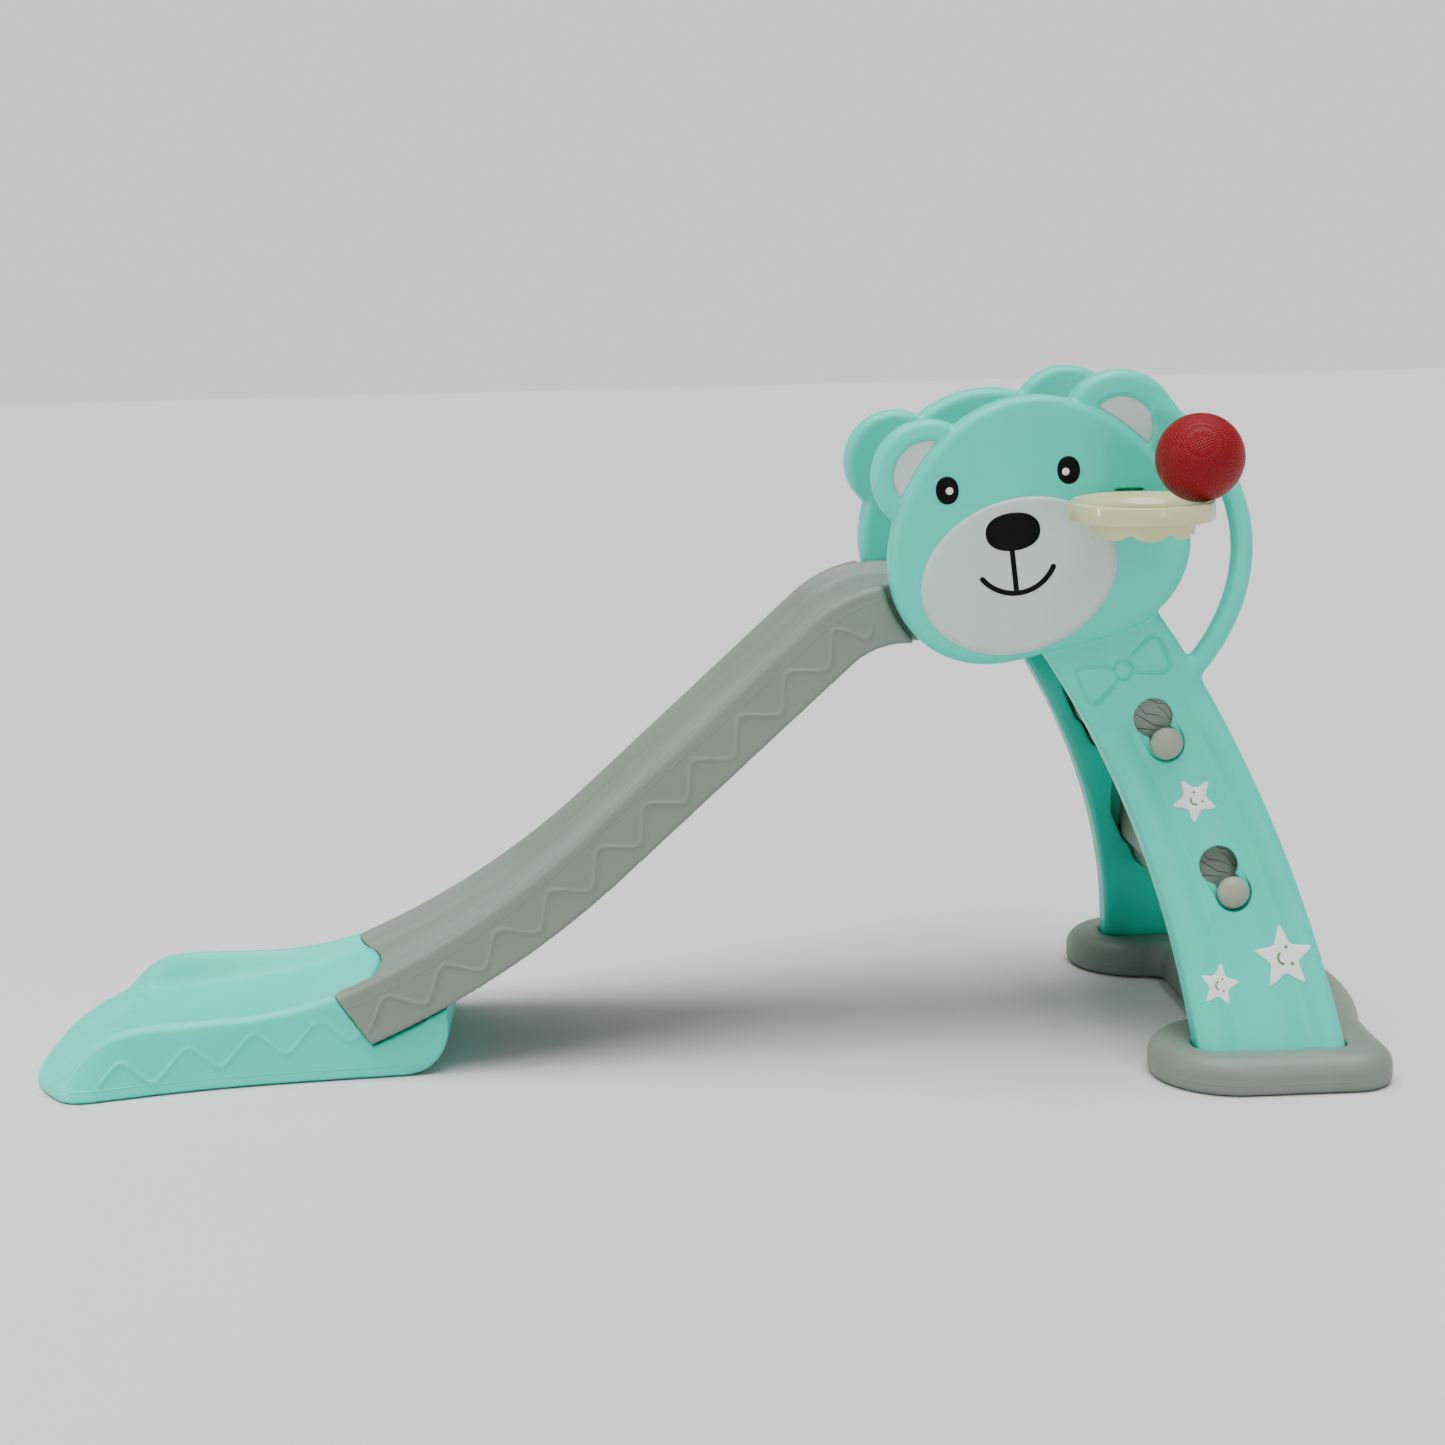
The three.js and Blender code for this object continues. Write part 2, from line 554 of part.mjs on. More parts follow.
// The hoop hangs outwards a little from its tongue in the panel's slot.
function hoop() {
  const { r, lip, band, skirtR, skirtEnd, skirt, wall } = HOOP;
  const rim = new THREE.LatheGeometry([
    [skirtR - 1, -12], [r - lip, -5], [r - 4, -0.8], [r - 2, 0], [r, -2.5], [r, -band], [r - wall, -band],
    [r - wall, -12], [skirtR + 2, -14], [skirtEnd, -skirt], [skirtEnd - 2.5, -skirt], [skirtR - 1, -12],
  ].reverse().map(([radius, h]) => new THREE.Vector2(radius, h)), 36);
  rim.rotateX(Math.PI / 2);
  rim.translate(HOOP.x, hoopY, HOOP.z);
  const half = TONGUE.width / 2;
  const tongueIn = -(PANEL.outer - TONGUE.depth);
  const tongue = box(TONGUE.x - half, TONGUE.x + half, hoopY + r - 4, tongueIn, HOOP.z - TONGUE.low,
    HOOP.z - TONGUE.high);
  const geometry = toGeometry(union([rim, tongue].map(toSolid)));
  geometry.translate(0, PANEL.outer, -HOOP.z);
  geometry.rotateX(THREE.MathUtils.degToRad(HOOP.droop));
  geometry.translate(0, -PANEL.outer, HOOP.z);
  return geometry;
}

function ball() {
  const geometry = new THREE.SphereGeometry(BALL.r, 20, 14);
  geometry.rotateX(Math.PI / 2);
  const solid = toSolid(geometry);
  const socket = new THREE.CylinderGeometry(4.3, 4.3, 12, 14);
  socket.translate(0, BALL.r, 0);
  return toGeometry(solid.subtract(toSolid(socket)));
}

function ballValve() {
  const geometry = new THREE.CylinderGeometry(4, 4, 5, 14);
  geometry.translate(0, BALL.r - 3.2, 0);
  return geometry;
}

// ---- printed films ------------------------------------------------------------------------
function film(shape, inner, side, curve = 10) {
  return plate(shape, inner + GAP, FILM, 0, side, 1, curve);
}

function earFilm(ear) {
  const disc = (side) => toSolid(film(ellipse(ear.x, ear.z, EAR_FILM_R, EAR_FILM_R, 0),
    PANEL.outer - PANEL.thick + EAR_THICK, side, 12));
  const headSpace = (side) => toSolid(plate(headOutline(1), 60, 200, 0, side));
  return (side) => toGeometry(disc(side).subtract(headSpace(side)));
}

function smileShape() {
  const { x, z, r, spread, line } = SMILE;
  const half = THREE.MathUtils.degToRad(spread);
  const lean = THREE.MathUtils.degToRad(NOSE.tilt);
  const arc = new THREE.Shape();
  arc.absarc(x, z, r + line / 2, -Math.PI / 2 - half + lean, -Math.PI / 2 + half + lean, false);
  arc.absarc(x, z, r - line / 2, -Math.PI / 2 + half + lean, -Math.PI / 2 - half + lean, true);
  return arc;
}

function smile(side) {
  const under = PANEL.outer + GAP + FILM;
  const foot = [SMILE.x + SMILE.r * Math.sin(THREE.MathUtils.degToRad(3)), SMILE.z - SMILE.r];
  const [topX, topZ] = [SMILE.stemTop[0], SMILE.stemTop[1] - 2];
  const w = SMILE.line / 2;
  const stem = new THREE.Shape([
    new THREE.Vector2(topX - w, topZ), new THREE.Vector2(foot[0] - w, foot[1]),
    new THREE.Vector2(foot[0] + w, foot[1]), new THREE.Vector2(topX + w, topZ),
  ]);
  return toGeometry(toSolid(film(smileShape(), under, side)).add(toSolid(film(stem, under, side))));
}

function starShape(size) {
  const shape = new THREE.Shape();
  for (let i = 0; i < 10; i += 1) {
    const angle = Math.PI / 2 + (i * Math.PI) / 5;
    const r = i % 2 ? size * 0.5 : size;
    const point = [r * Math.cos(angle), r * Math.sin(angle)];
    if (i === 0) {
      shape.moveTo(...point);
    } else {
      shape.lineTo(...point);
    }
  }
  shape.closePath();
  return shape;
}

// A star lies against the sloping outer face of the leg.
function star([x, z, size, turn], side) {
  const geometry = plate(starShape(size), 0, FILM, 0, side, 1, 1);
  geometry.rotateY(-THREE.MathUtils.degToRad(turn));
  const slope = Math.atan(legLean(z));
  geometry.rotateX(side * slope);
  geometry.translate(x, side * (legOuter(z) + 1), z);
  return geometry;
}

// ---- assembly -----------------------------------------------------------------------------
const group = new THREE.Group();

function add(name, geometry, color, roughness = 0.5, metalness = 0, position = [0, 0, 0]) {
  const material = new THREE.MeshStandardMaterial({ color, roughness, metalness });
  const mesh = new THREE.Mesh(geometry, material);
  mesh.name = name;
  mesh.position.set(...position);
  group.add(mesh);
}

function tube(r, wall) {
  const ring = new THREE.Shape();
  ring.absarc(0, 0, r, 0, 2 * Math.PI);
  const bore = new THREE.Path();
  bore.absarc(0, 0, r - wall, 0, 2 * Math.PI, true);
  ring.holes.push(bore);
  const depth = 2 * PIVOT.halfLength;
  const geometry = new THREE.ExtrudeGeometry(ring, { depth, bevelEnabled: false, curveSegments: 24 });
  geometry.rotateX(Math.PI / 2);
  geometry.translate(0, depth / 2, 0);
  return geometry;
}

function screw() {
  const { headR, head, shankR, length } = END_SCREW;
  const geometry = new THREE.LatheGeometry([[0, 0], [headR - 1, 0], [headR, 1], [headR, head],
    [shankR, head], [shankR, length - 3], [0, length]].map(([r, h]) => new THREE.Vector2(r, h)), 14);
  geometry.rotateX(Math.PI / 2);
  return geometry;
}

add('near_side_panel', sidePanel(NEAR), TEAL);
add('far_side_panel', sidePanel(FAR), TEAL);
add('base_plate', basePlate(), GREY);
KNOBS.forEach((knob) => add(knob.name, stepBar(knob), GREY));
add('upper_chute', upperChute(), GREY);
add('chute_end', chuteEnd(), TEAL);
screwSides().forEach((y, i) => {
  const place = [END_SCREW.x, y, END_SCREW.ceiling - END_SCREW.head - GAP];
  add(`chute_end_screw_${i + 1}`, screw(), STEEL, 0.4, 0.9, place);
});
add('pivot_tube', tube(PIVOT.tubeR, PIVOT.wall), STEEL, 0.35, 0.9, [PIVOT.x, 0, PIVOT.z]);
add('deck_rest_tube', tube(REST.tubeR, PIVOT.wall), STEEL, 0.35, 0.9, [REST.x, 0, REST.z]);
add('hoop', hoop(), CREAM, 0.3);
add('ball', ball(), RED, 0.5, 0, [BALL.x, BALL.y, BALL.z]);
add('ball_valve', ballValve(), BLACK, 0.6, 0, [BALL.x, BALL.y, BALL.z]);

[[NEAR, 'near'], [FAR, 'far']].forEach(([side, word]) => {
  const face = PANEL.outer;
  const onMuzzle = face + GAP + FILM;
  const oval = (o) => ellipse(o.x, o.z, o.a, o.b, o.tilt);
  add(`${word}_muzzle_film`, film(oval(MUZZLE), face, side, 20), PALE, 0.4);
  add(`${word}_nose_print`, film(oval(NOSE), onMuzzle, side), BLACK, 0.4);
  add(`${word}_smile_print`, smile(side), BLACK, 0.4);
  EYES.forEach(([x, z], i) => {
    const name = `${word}_${i ? 'back' : 'front'}_eye`;
    add(name, film(ellipse(x, z, EYE.a, EYE.b, EYE.tilt), face, side, 8), BLACK, 0.3);
  });
  add(`${word}_front_ear_film`, earFilm(EAR_FRONT)(side), PALE, 0.4);
  add(`${word}_back_ear_film`, earFilm(EAR_BACK)(side), PALE, 0.4);
  STARS.forEach((place, i) => add(`${word}_star_${i + 1}`, star(place, side), PALE, 0.4));
});

// The origin is the middle of the whole slide's footprint.
const bounds = new THREE.Box3().setFromObject(group);
group.position.x = -(bounds.min.x + bounds.max.x) / 2;
group.position.y = -(bounds.min.y + bounds.max.y) / 2;

export default group;
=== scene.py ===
"""Looks of the toddler slide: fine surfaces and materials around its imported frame.

Shapes are worked out in millimetres in the slide's own axes, where y = 0 is the middle plane and z = 0 the
floor, and are moved into the frame by SHIFT. A moulded piece is a field, negative inside it, whose zero
surface becomes a mesh.
"""
import math

import bmesh
import bpy
import numpy as np
from mathutils import Matrix, Vector


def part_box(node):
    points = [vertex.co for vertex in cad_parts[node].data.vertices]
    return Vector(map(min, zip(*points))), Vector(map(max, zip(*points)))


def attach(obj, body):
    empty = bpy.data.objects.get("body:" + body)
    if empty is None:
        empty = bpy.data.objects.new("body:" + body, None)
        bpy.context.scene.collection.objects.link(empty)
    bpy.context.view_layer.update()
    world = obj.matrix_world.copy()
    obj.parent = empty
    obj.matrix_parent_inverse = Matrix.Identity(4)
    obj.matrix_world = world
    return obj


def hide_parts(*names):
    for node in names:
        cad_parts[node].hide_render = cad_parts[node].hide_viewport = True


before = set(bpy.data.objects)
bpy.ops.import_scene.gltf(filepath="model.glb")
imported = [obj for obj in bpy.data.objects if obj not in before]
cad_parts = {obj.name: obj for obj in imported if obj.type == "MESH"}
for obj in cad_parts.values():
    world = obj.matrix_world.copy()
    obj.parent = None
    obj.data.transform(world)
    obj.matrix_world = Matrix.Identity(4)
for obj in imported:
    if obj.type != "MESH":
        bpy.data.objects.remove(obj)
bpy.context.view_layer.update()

MM = 0.001
NEAR = -1.0
FAR = 1.0

# ---- driving dimensions, as in the frame ------------------------------------------------------
PIVOT = {"x": 342.0, "z": 490.0, "r": 12.5, "play": 0.4}
REST = {"x": 425.0, "z": 452.2, "r": 10.0}
BORE_DEPTH = 141.0
HEAD = {"x": 338.0, "z": 578.0, "r": 149.0}
HEAD_RIPPLES = [(1, 2.2, 5.0), (2, 11.9, 14.5), (3, 9.6, -17.7), (4, 1.5, -26.5)]
PANEL = {"outer": 170.0, "inner": 127.0, "head_edge": 12.0, "leg_edge": 7.0}
EARS = [
    {"x": 228.0, "z": 641.0, "r": 60.0, "film_r": 38.0},
    {"x": 430.0, "z": 686.0, "r": 62.0, "film_r": 34.0},
]
EAR = {"outer": 164.0, "edge": 11.0, "film_gap": 2.0, "corner": 4.0, "recess": 2.4}
LEG = {"front": (-351.5, -31.5, 850.0), "back": (-373.0, -110.0, 1037.0), "foot": 8.0, "top": 497.0}
FLARE = {"neck": 159.0, "spread": 118.0, "top": 400.0, "power": 1.75, "thick": 43.0, "inset": 10.0}
FLUTES = {"low": 0.29, "high": 0.77, "outer": 5.6, "inner": 2.0}
HANDLE = {"x": 430.0, "z": 575.0, "width": 22.0, "depth": 32.0, "y": 148.5, "power": 2.3}
HANDLE_PATH = [
    (470, 706), (504, 683), (533, 649), (554, 610), (563.5, 560), (557.5, 512), (543, 474), (511, 427),
]
BOW = {"x": 435.0, "z": 430.0, "lean": 23.0, "knot": 9.5, "wing": 48.0}
KEYHOLE = {"hole": 20.8, "slot": 12.5, "recess": 19.8, "opened": 0.8, "travel": 31.0, "lean": 26.0}
RECESS = {"lower_step": 8.0, "upper_step": 4.5}
POCKET_WALL = 3.4
KNOBS = {"lower_step": (547.0, 190.0), "upper_step": (481.0, 349.0)}
KNOB = {"r": 17.3, "neck": 10.5, "length": 17.0}
STEP = {"front": -43.0, "back": 44.0, "under": -26.0, "top": 53.0, "corner": 20.0, "keel_x": 2.0,
        "keel_r": 28.0, "keel_z": -31.0, "play": 1.5}
BASE = {"height": 40.0, "x0": 450.0, "x1": 699.0, "y0": 136.0, "y1": 312.0, "front": 88.0, "back": 48.0,
        "play": 2.0}
BRIDGE = {"front": 548.0, "back": 685.0, "bulge": 42.0, "half": 190.0}
DECK = {"crest": 528.0, "back": 440.0, "half": 123.0, "clear": 5.0}
RUN = {"slope": math.radians(41.8), "exit": math.radians(22.0), "lean": math.radians(36.0),
       "top_r": 150.0, "top_x": 202.0, "foot_x": -148.0}
WALL = {"crest": 138.0, "foot": 146.0, "height": 65.0, "floor": 104.0, "drop": 17.0, "foot_width": 21.0}
UNDER = {"half": 94.0, "thick": 18.0}
END = {"heel": -303.0, "joint": -425.0, "lip": -766.0, "recess": 0.6, "shadow_gap": 3.0}
HOOP = {"x": 433.5, "y": -247.5, "z": 622.0, "r": 73.5, "droop": 2.8, "scallop": 6.5}
TONGUE = {"x": 438.0, "width": 28.0, "low": 18.0, "high": 10.0, "depth": 18.0, "travel": 10.0}
BALL = {"x": 486.6, "y": -270.0, "z": 660.4, "r": 44.8, "socket": 4.3, "deep": 6.0}
MUZZLE = {"x": 321.0, "z": 535.0, "a": 106.0, "b": 81.0, "tilt": 17.3, "power": 2.0}
NOSE = {"x": 314.0, "z": 582.0, "a": 29.0, "b": 20.0, "tilt": 6.0, "power": 2.2}
EYE = {"a": 14.6, "b": 12.0, "tilt": 95.0, "power": 2.1, "glint": 3.9}
EYES = {"front": (245.0, 627.0, 2.4, -0.6), "back": (373.0, 645.0, -3.0, -1.6)}
SMILE = {"x": 315.5, "z": 562.0, "r": 45.0, "spread": 58.0, "line": 5.5, "stem": (312.5, 568.0)}
STAR = {"slim": 0.36, "fillet": 4.4}
LIFT = {"ear": 0.35, "film": 0.4, "star_ink": 0.55, "glint": 0.6, "stem": 0.7, "nose": 0.75, "smile": 0.78}
STARS = [(510.0, 288.0, 24.5, 33.0, 43.0), (596.0, 122.5, 32.5, 3.0, 17.0), (524.0, 97.6, 21.3, -11.0, 0.0)]

CAMERA = {"place": (-0.1, -2.5695, 0.8), "turn": 2.476, "down": 9.723, "roll": -1.4, "lens": 57.3}

low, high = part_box("pivot_tube")
SHIFT = (low + high) / 2 - Vector((PIVOT["x"], 0.0, PIVOT["z"])) * MM


# ---- camera -----------------------------------------------------------------------------------
def make_camera():
    """A camera at the height of a standing toddler, in front of the side with the hoop."""
    turn, down, roll = [math.radians(CAMERA[key]) for key in ("turn", "down", "roll")]
    forward = Vector((math.sin(turn) * math.cos(down), math.cos(turn) * math.cos(down), -math.sin(down)))
    level = Vector((math.cos(turn), -math.sin(turn), 0.0))
    upright = level.cross(forward)
    right = level * math.cos(roll) + upright * math.sin(roll)
    up = upright * math.cos(roll) - level * math.sin(roll)
    data = bpy.data.cameras.new("camera")
    data.sensor_width = 36.0
    data.lens = CAMERA["lens"]
    camera = bpy.data.objects.new("camera", data)
    camera.matrix_world = Matrix((right, up, -forward)).transposed().to_4x4()
    camera.location = Vector(CAMERA["place"]) + Vector((SHIFT.x, SHIFT.y, 0.0))
    bpy.context.scene.collection.objects.link(camera)
    bpy.context.scene.camera = camera


make_camera()


# ---- fields -----------------------------------------------------------------------------------
def smoothstep(start, end, value):
    t = np.clip((value - start) / (end - start), 0.0, 1.0)
    return t * t * (3.0 - 2.0 * t)


def swell(distance, width, height):
    """Height and steepness of an S-shaped rise over `width`."""
    t = np.clip(distance / width, 0.0, 1.0)
    return height * t * t * (3.0 - 2.0 * t), height * 6.0 * t * (1.0 - t) / width


def join(a, b, width):
    """Union of two fields with a fillet about `width` wide."""
    h = np.clip(0.5 + 0.5 * (b - a) / width, 0.0, 1.0)
    return b + (a - b) * h - width * h * (1.0 - h)


def cut(a, b, width):
    """The part of `a` that is outside `b`, with the edge eased over `width`."""
    return -join(-a, b, width)


def corner(a, b, radius):
    """The part inside both fields, with a round edge."""
    u = np.maximum(a + radius, 0.0)
    v = np.maximum(b + radius, 0.0)
    return np.minimum(np.maximum(a, b) + radius, 0.0) + np.sqrt(u * u + v * v) - radius


def oval(x, z, shape):
    """Distance from an oval drawn in X and Z."""
    tilt = math.radians(shape["tilt"])
    power = shape["power"]
    dx, dz = x - shape["x"], z - shape["z"]
    u = np.abs(dx * math.cos(tilt) + dz * math.sin(tilt)) / shape["a"]
    v = np.abs(dz * math.cos(tilt) - dx * math.sin(tilt)) / shape["b"]
    size = np.maximum((u**power + v**power) ** (1.0 / power), 1e-3)
    steep = np.sqrt((u ** (power - 1.0) / shape["a"]) ** 2 + (v ** (power - 1.0) / shape["b"]) ** 2)
    return (size - 1.0) / np.maximum(steep * size ** (1.0 - power), 1e-6)


def head_edge(x, z):
    """Distance from the head's outline, a circle with ripples."""
    dx, dz = x - HEAD["x"], z - HEAD["z"]
    angle = np.arctan2(dz, dx)
    reach, turn = HEAD["r"], 0.0
    for count, height, place in HEAD_RIPPLES:
        phase = count * (angle - math.radians(place))
        reach = reach + height * np.cos(phase)
        turn = turn - count * height * np.sin(phase)
    return (np.hypot(dx, dz) - reach) / np.sqrt(1.0 + (turn / reach) ** 2)


def circle(x, z, cx, cz, r):
    return np.hypot(x - cx, z - cz) - r


def capsule(x, z, start, end, r):
    """Distance from a round-ended bar between two points."""
    dx, dz = end[0] - start[0], end[1] - start[1]
    t = np.clip(((x - start[0]) * dx + (z - start[1]) * dz) / (dx * dx + dz * dz), 0.0, 1.0)
    return np.hypot(x - start[0] - t * dx, z - start[1] - t * dz) - r


# ---- from a field to a mesh -------------------------------------------------------------------
def net(field, axes):
    """Points and four-sided faces of the field's zero surface, one point for each cell that it crosses.

    `axes` holds the places of the cells' corners along each axis.
    """
    grid = field(axes[0][:, None, None], axes[1][None, :, None], axes[2][None, None, :]).astype(np.float32)
    inside = grid < 0.0
    cells = np.array(grid.shape)
    totals, owners, faces = [], [], []
    for axis in range(3):
        here = np.moveaxis(inside, axis, 0)
        edge = np.argwhere(here[:-1] != here[1:])
        start = np.empty_like(edge)
        others = [k for k in range(3) if k != axis]
        start[:, axis], start[:, others[0]], start[:, others[1]] = edge[:, 0], edge[:, 1], edge[:, 2]
        after = start.copy()
        after[:, axis] += 1
        v0 = grid[tuple(start.T)]
        v1 = grid[tuple(after.T)]
        crossing = start.astype(float)
        crossing[:, axis] += v0 / (v0 - v1)
        around = []
        for back_b, back_c in ((1, 1), (0, 1), (0, 0), (1, 0)):
            cell = start.copy()
            cell[:, others[0]] -= back_b
            cell[:, others[1]] -= back_c
            around.append(np.ravel_multi_index(tuple(cell.T), cells))
            totals.append(crossing)
            owners.append(around[-1])
        quads = np.stack(around, 1)
        outward = (v0 < 0.0) != (axis == 1)
        faces.append(np.where(outward[:, None], quads, quads[:, ::-1]))
    owners = np.concatenate(owners)
    names, index = np.unique(owners, return_inverse=True)
    totals = np.concatenate(totals)
    count = np.bincount(index)
    points = np.stack([np.bincount(index, totals[:, k]) / count for k in range(3)], 1)
    quads = np.searchsorted(names, np.concatenate(faces))
    spread = [np.interp(points[:, k], np.arange(len(axis)), axis) for k, axis in enumerate(axes)]
    return np.stack(spread, 1), quads


def gradient(field, points, reach=0.35):
    """Direction and steepness in which the field grows."""
    slopes = []
    for axis in range(3):
        ahead, behind = points.copy(), points.copy()
        ahead[:, axis] += reach
        behind[:, axis] -= reach
        slopes.append((field(*ahead.T) - field(*behind.T)) / (2.0 * reach))
    return np.stack(slopes, 1)


def settle(field, points, step, rounds=3):
    """Moves the points onto the field's zero surface."""
    for _ in range(rounds):
        slope = gradient(field, points)
        steep = np.maximum((slope**2).sum(1), 0.05)
        move = np.clip(field(*points.T) / steep, -step, step)
        points = points - slope * move[:, None]
    return points


def refine(points, quads, fine):
    """Halves the edges wherever `fine` says that small detail lies."""
    mesh = bpy.data.meshes.new("refining")
    mesh.from_pydata(points.tolist(), [], quads.tolist())
    work = bmesh.new()
    work.from_mesh(mesh)
    bpy.data.meshes.remove(mesh)
    work.verts.ensure_lookup_table()
    wanted = fine(*points.T)
    edges = [e for e in work.edges if wanted[e.verts[0].index] and wanted[e.verts[1].index]]
    bmesh.ops.subdivide_edges(work, edges=edges, cuts=1, use_grid_fill=True)
    work.verts.ensure_lookup_table()
    work.verts.index_update()
    points = np.array([v.co for v in work.verts], float)
    faces = [[v.index for v in f.verts] for f in work.faces]
    work.free()
    return points, faces


def to_frame(points):
    return np.asarray(points, float) * MM + np.array(SHIFT)


def add_mesh(name, points, faces, normals=None, materials=(), kinds=None):
    """An object from points in millimetres, smooth, with one material slot for each material."""
    mesh = bpy.data.meshes.new(name)
    mesh.from_pydata(to_frame(points).tolist(), [], [list(map(int, f)) for f in faces])
    mesh.update()
    mesh.polygons.foreach_set("use_smooth", [True] * len(mesh.polygons))
    for material in materials:
        mesh.materials.append(material)
    if kinds is not None:
        mesh.polygons.foreach_set("material_index", list(map(int, kinds)))
    if normals is not None:
        mesh.normals_split_custom_set_from_vertices(np.asarray(normals, float).tolist())
    piece = bpy.data.objects.new(name, mesh)
    bpy.context.scene.collection.objects.link(piece)
    return piece


def install(piece, body, node=None):
    """Lets a piece ride on a body and, if one is given, stand for a CAD node, which is hidden."""
    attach(piece, body)
    if node is not None:
        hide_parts(node)


def moulded(name, field, lows, highs, step, material, fine=None, seam=None, mirror=False, thin=None):
    """A moulded piece: the field's surface, with exact normals and its parting line as an attribute.

    `thin` is a stretch of the second axis with walls thinner than a cell.
    """
    axes = [np.arange(a, b + step, step) for a, b in zip(lows, highs)]
    if thin is not None:
        outside = axes[1][(axes[1] < thin[0] - 0.5) | (axes[1] > thin[1] + 0.5)]
        axes[1] = np.sort(np.concatenate([outside, np.arange(thin[0], thin[1] + 0.1, 1.5)]))
    points, faces = net(field, axes)
    points = settle(field, points, step, 2)
    if fine is not None:
        points, faces = refine(points, faces, fine)
        points = settle(field, points, step, 2)
    slope = gradient(field, points)
    normals = slope / np.maximum(np.linalg.norm(slope, axis=1), 1e-9)[:, None]
    line = seam(*points.T) if seam is not None else np.full(len(points), 99.0)
    if mirror:
        points = points * [1.0, -1.0, 1.0]
        normals = normals * [1.0, -1.0, 1.0]
        faces = [list(f)[::-1] for f in faces]
    piece = add_mesh(name, points, faces, normals, [material])
    attribute = piece.data.attributes.new("parting", "FLOAT", "POINT")
    attribute.data.foreach_set("value", line.astype(np.float32))
    return piece


def ring_faces(rings, count, closed=False):
    """Faces between rings of `count` points each; `closed` joins the last ring to the first."""
    faces = []
    for i in range(rings if closed else rings - 1):
        a, b = i * count, (i + 1) % rings * count
        faces += [[a + j, a + (j + 1) % count, b + (j + 1) % count, b + j] for j in range(count)]
    return faces


def lathe(profile, segments=96):
    """Points and faces of a profile of (radius, height) turned about the upright axis."""
    angles = np.linspace(0.0, 2.0 * math.pi, segments, endpoint=False)
    rings = [[(r * math.cos(a), r * math.sin(a), h) for a in angles] for r, h in profile]
    return np.array([p for ring in rings for p in ring]), ring_faces(len(profile), segments)


def joined(parts):
    """Several lists of points and faces as one."""
    points, faces, count = [], [], 0
    for part_points, part_faces in parts:
        points.append(np.asarray(part_points, float))
        faces.extend([[i + count for i in f] for f in part_faces])
        count += len(part_points)
    return np.concatenate(points), faces


# ---- materials --------------------------------------------------------------------------------
def linear(red, green, blue):
    """A colour given as it shows on a screen, 0 to 255, as the shader wants it."""
    return tuple(((c / 255.0 + 0.055) / 1.055) ** 2.4 if c > 10 else c / 3294.6 for c in (red, green, blue))


class Shader:
    """A node material with a Principled shader, and short ways of adding nodes to it."""

    def __init__(self, name):
        self.material = bpy.data.materials.new(name)
        self.material.use_nodes = True
        self.tree = self.material.node_tree
        self.main = self.tree.nodes["Principled BSDF"]
        self.place = self.tree.nodes.new("ShaderNodeTexCoord").outputs["Object"]

    def set(self, **values):
        for socket, value in values.items():
            self.main.inputs[socket.replace("_", " ")].default_value = value

    def node(self, kind, settings=None, **inputs):
        node = self.tree.nodes.new("ShaderNode" + kind)
        for key, value in (settings or {}).items():
            setattr(node, key, value)
        for key, value in inputs.items():
            socket = node.inputs[int(key[1:]) if key.startswith("i") else key.replace("_", " ")]
            if isinstance(value, bpy.types.NodeSocket):
                self.tree.links.new(value, socket)
            else:
                socket.default_value = value
        return node

    def noise(self, scale, detail=3.0, stretch=None, rough=0.5):
        place = self.place
        if stretch is not None:
            place = self.node("Mapping", Vector=place, Scale=stretch).outputs["Vector"]
        node = self.node("TexNoise", Vector=place, Scale=scale, Detail=detail, Roughness=rough)
        return node.outputs["Fac"]

    def patchy(self, scale, detail, start, end, **more):
        """Noise between two values, with both of them reached."""
        return self.ramp(self.noise(scale, detail, **more), 0.3, 0.7, start, end)

    def ramp(self, value, low, high, start, end):
        node = self.node("MapRange", {"clamp": True}, Value=value)
        for key, number in (("From Min", low), ("From Max", high), ("To Min", start), ("To Max", end)):
            node.inputs[key].default_value = number
        return node.outputs["Result"]

    def mix(self, factor, dark, light):
        node = self.node("Mix", {"data_type": "RGBA"})
        self.tree.links.new(factor, node.inputs["Factor"])
        for socket, colour in (("A", dark), ("B", light)):
            target = [s for s in node.inputs if s.name == socket and s.type == "RGBA"][0]
            if isinstance(colour, bpy.types.NodeSocket):
                self.tree.links.new(colour, target)
            else:
                target.default_value = (*colour[:3], 1.0)
        return [s for s in node.outputs if s.type == "RGBA"][0]

    def bump(self, height, distance, strength=1.0, under=None):
        node = self.node("Bump", Strength=strength, Distance=distance, Height=height)
        if under is not None:
            self.tree.links.new(under, node.inputs["Normal"])
        return node.outputs["Normal"]

    def link(self, output, socket):
        self.tree.links.new(output, self.main.inputs[socket])


def tinted(colour, factor):
    return tuple(min(1.0, c * factor) for c in colour)


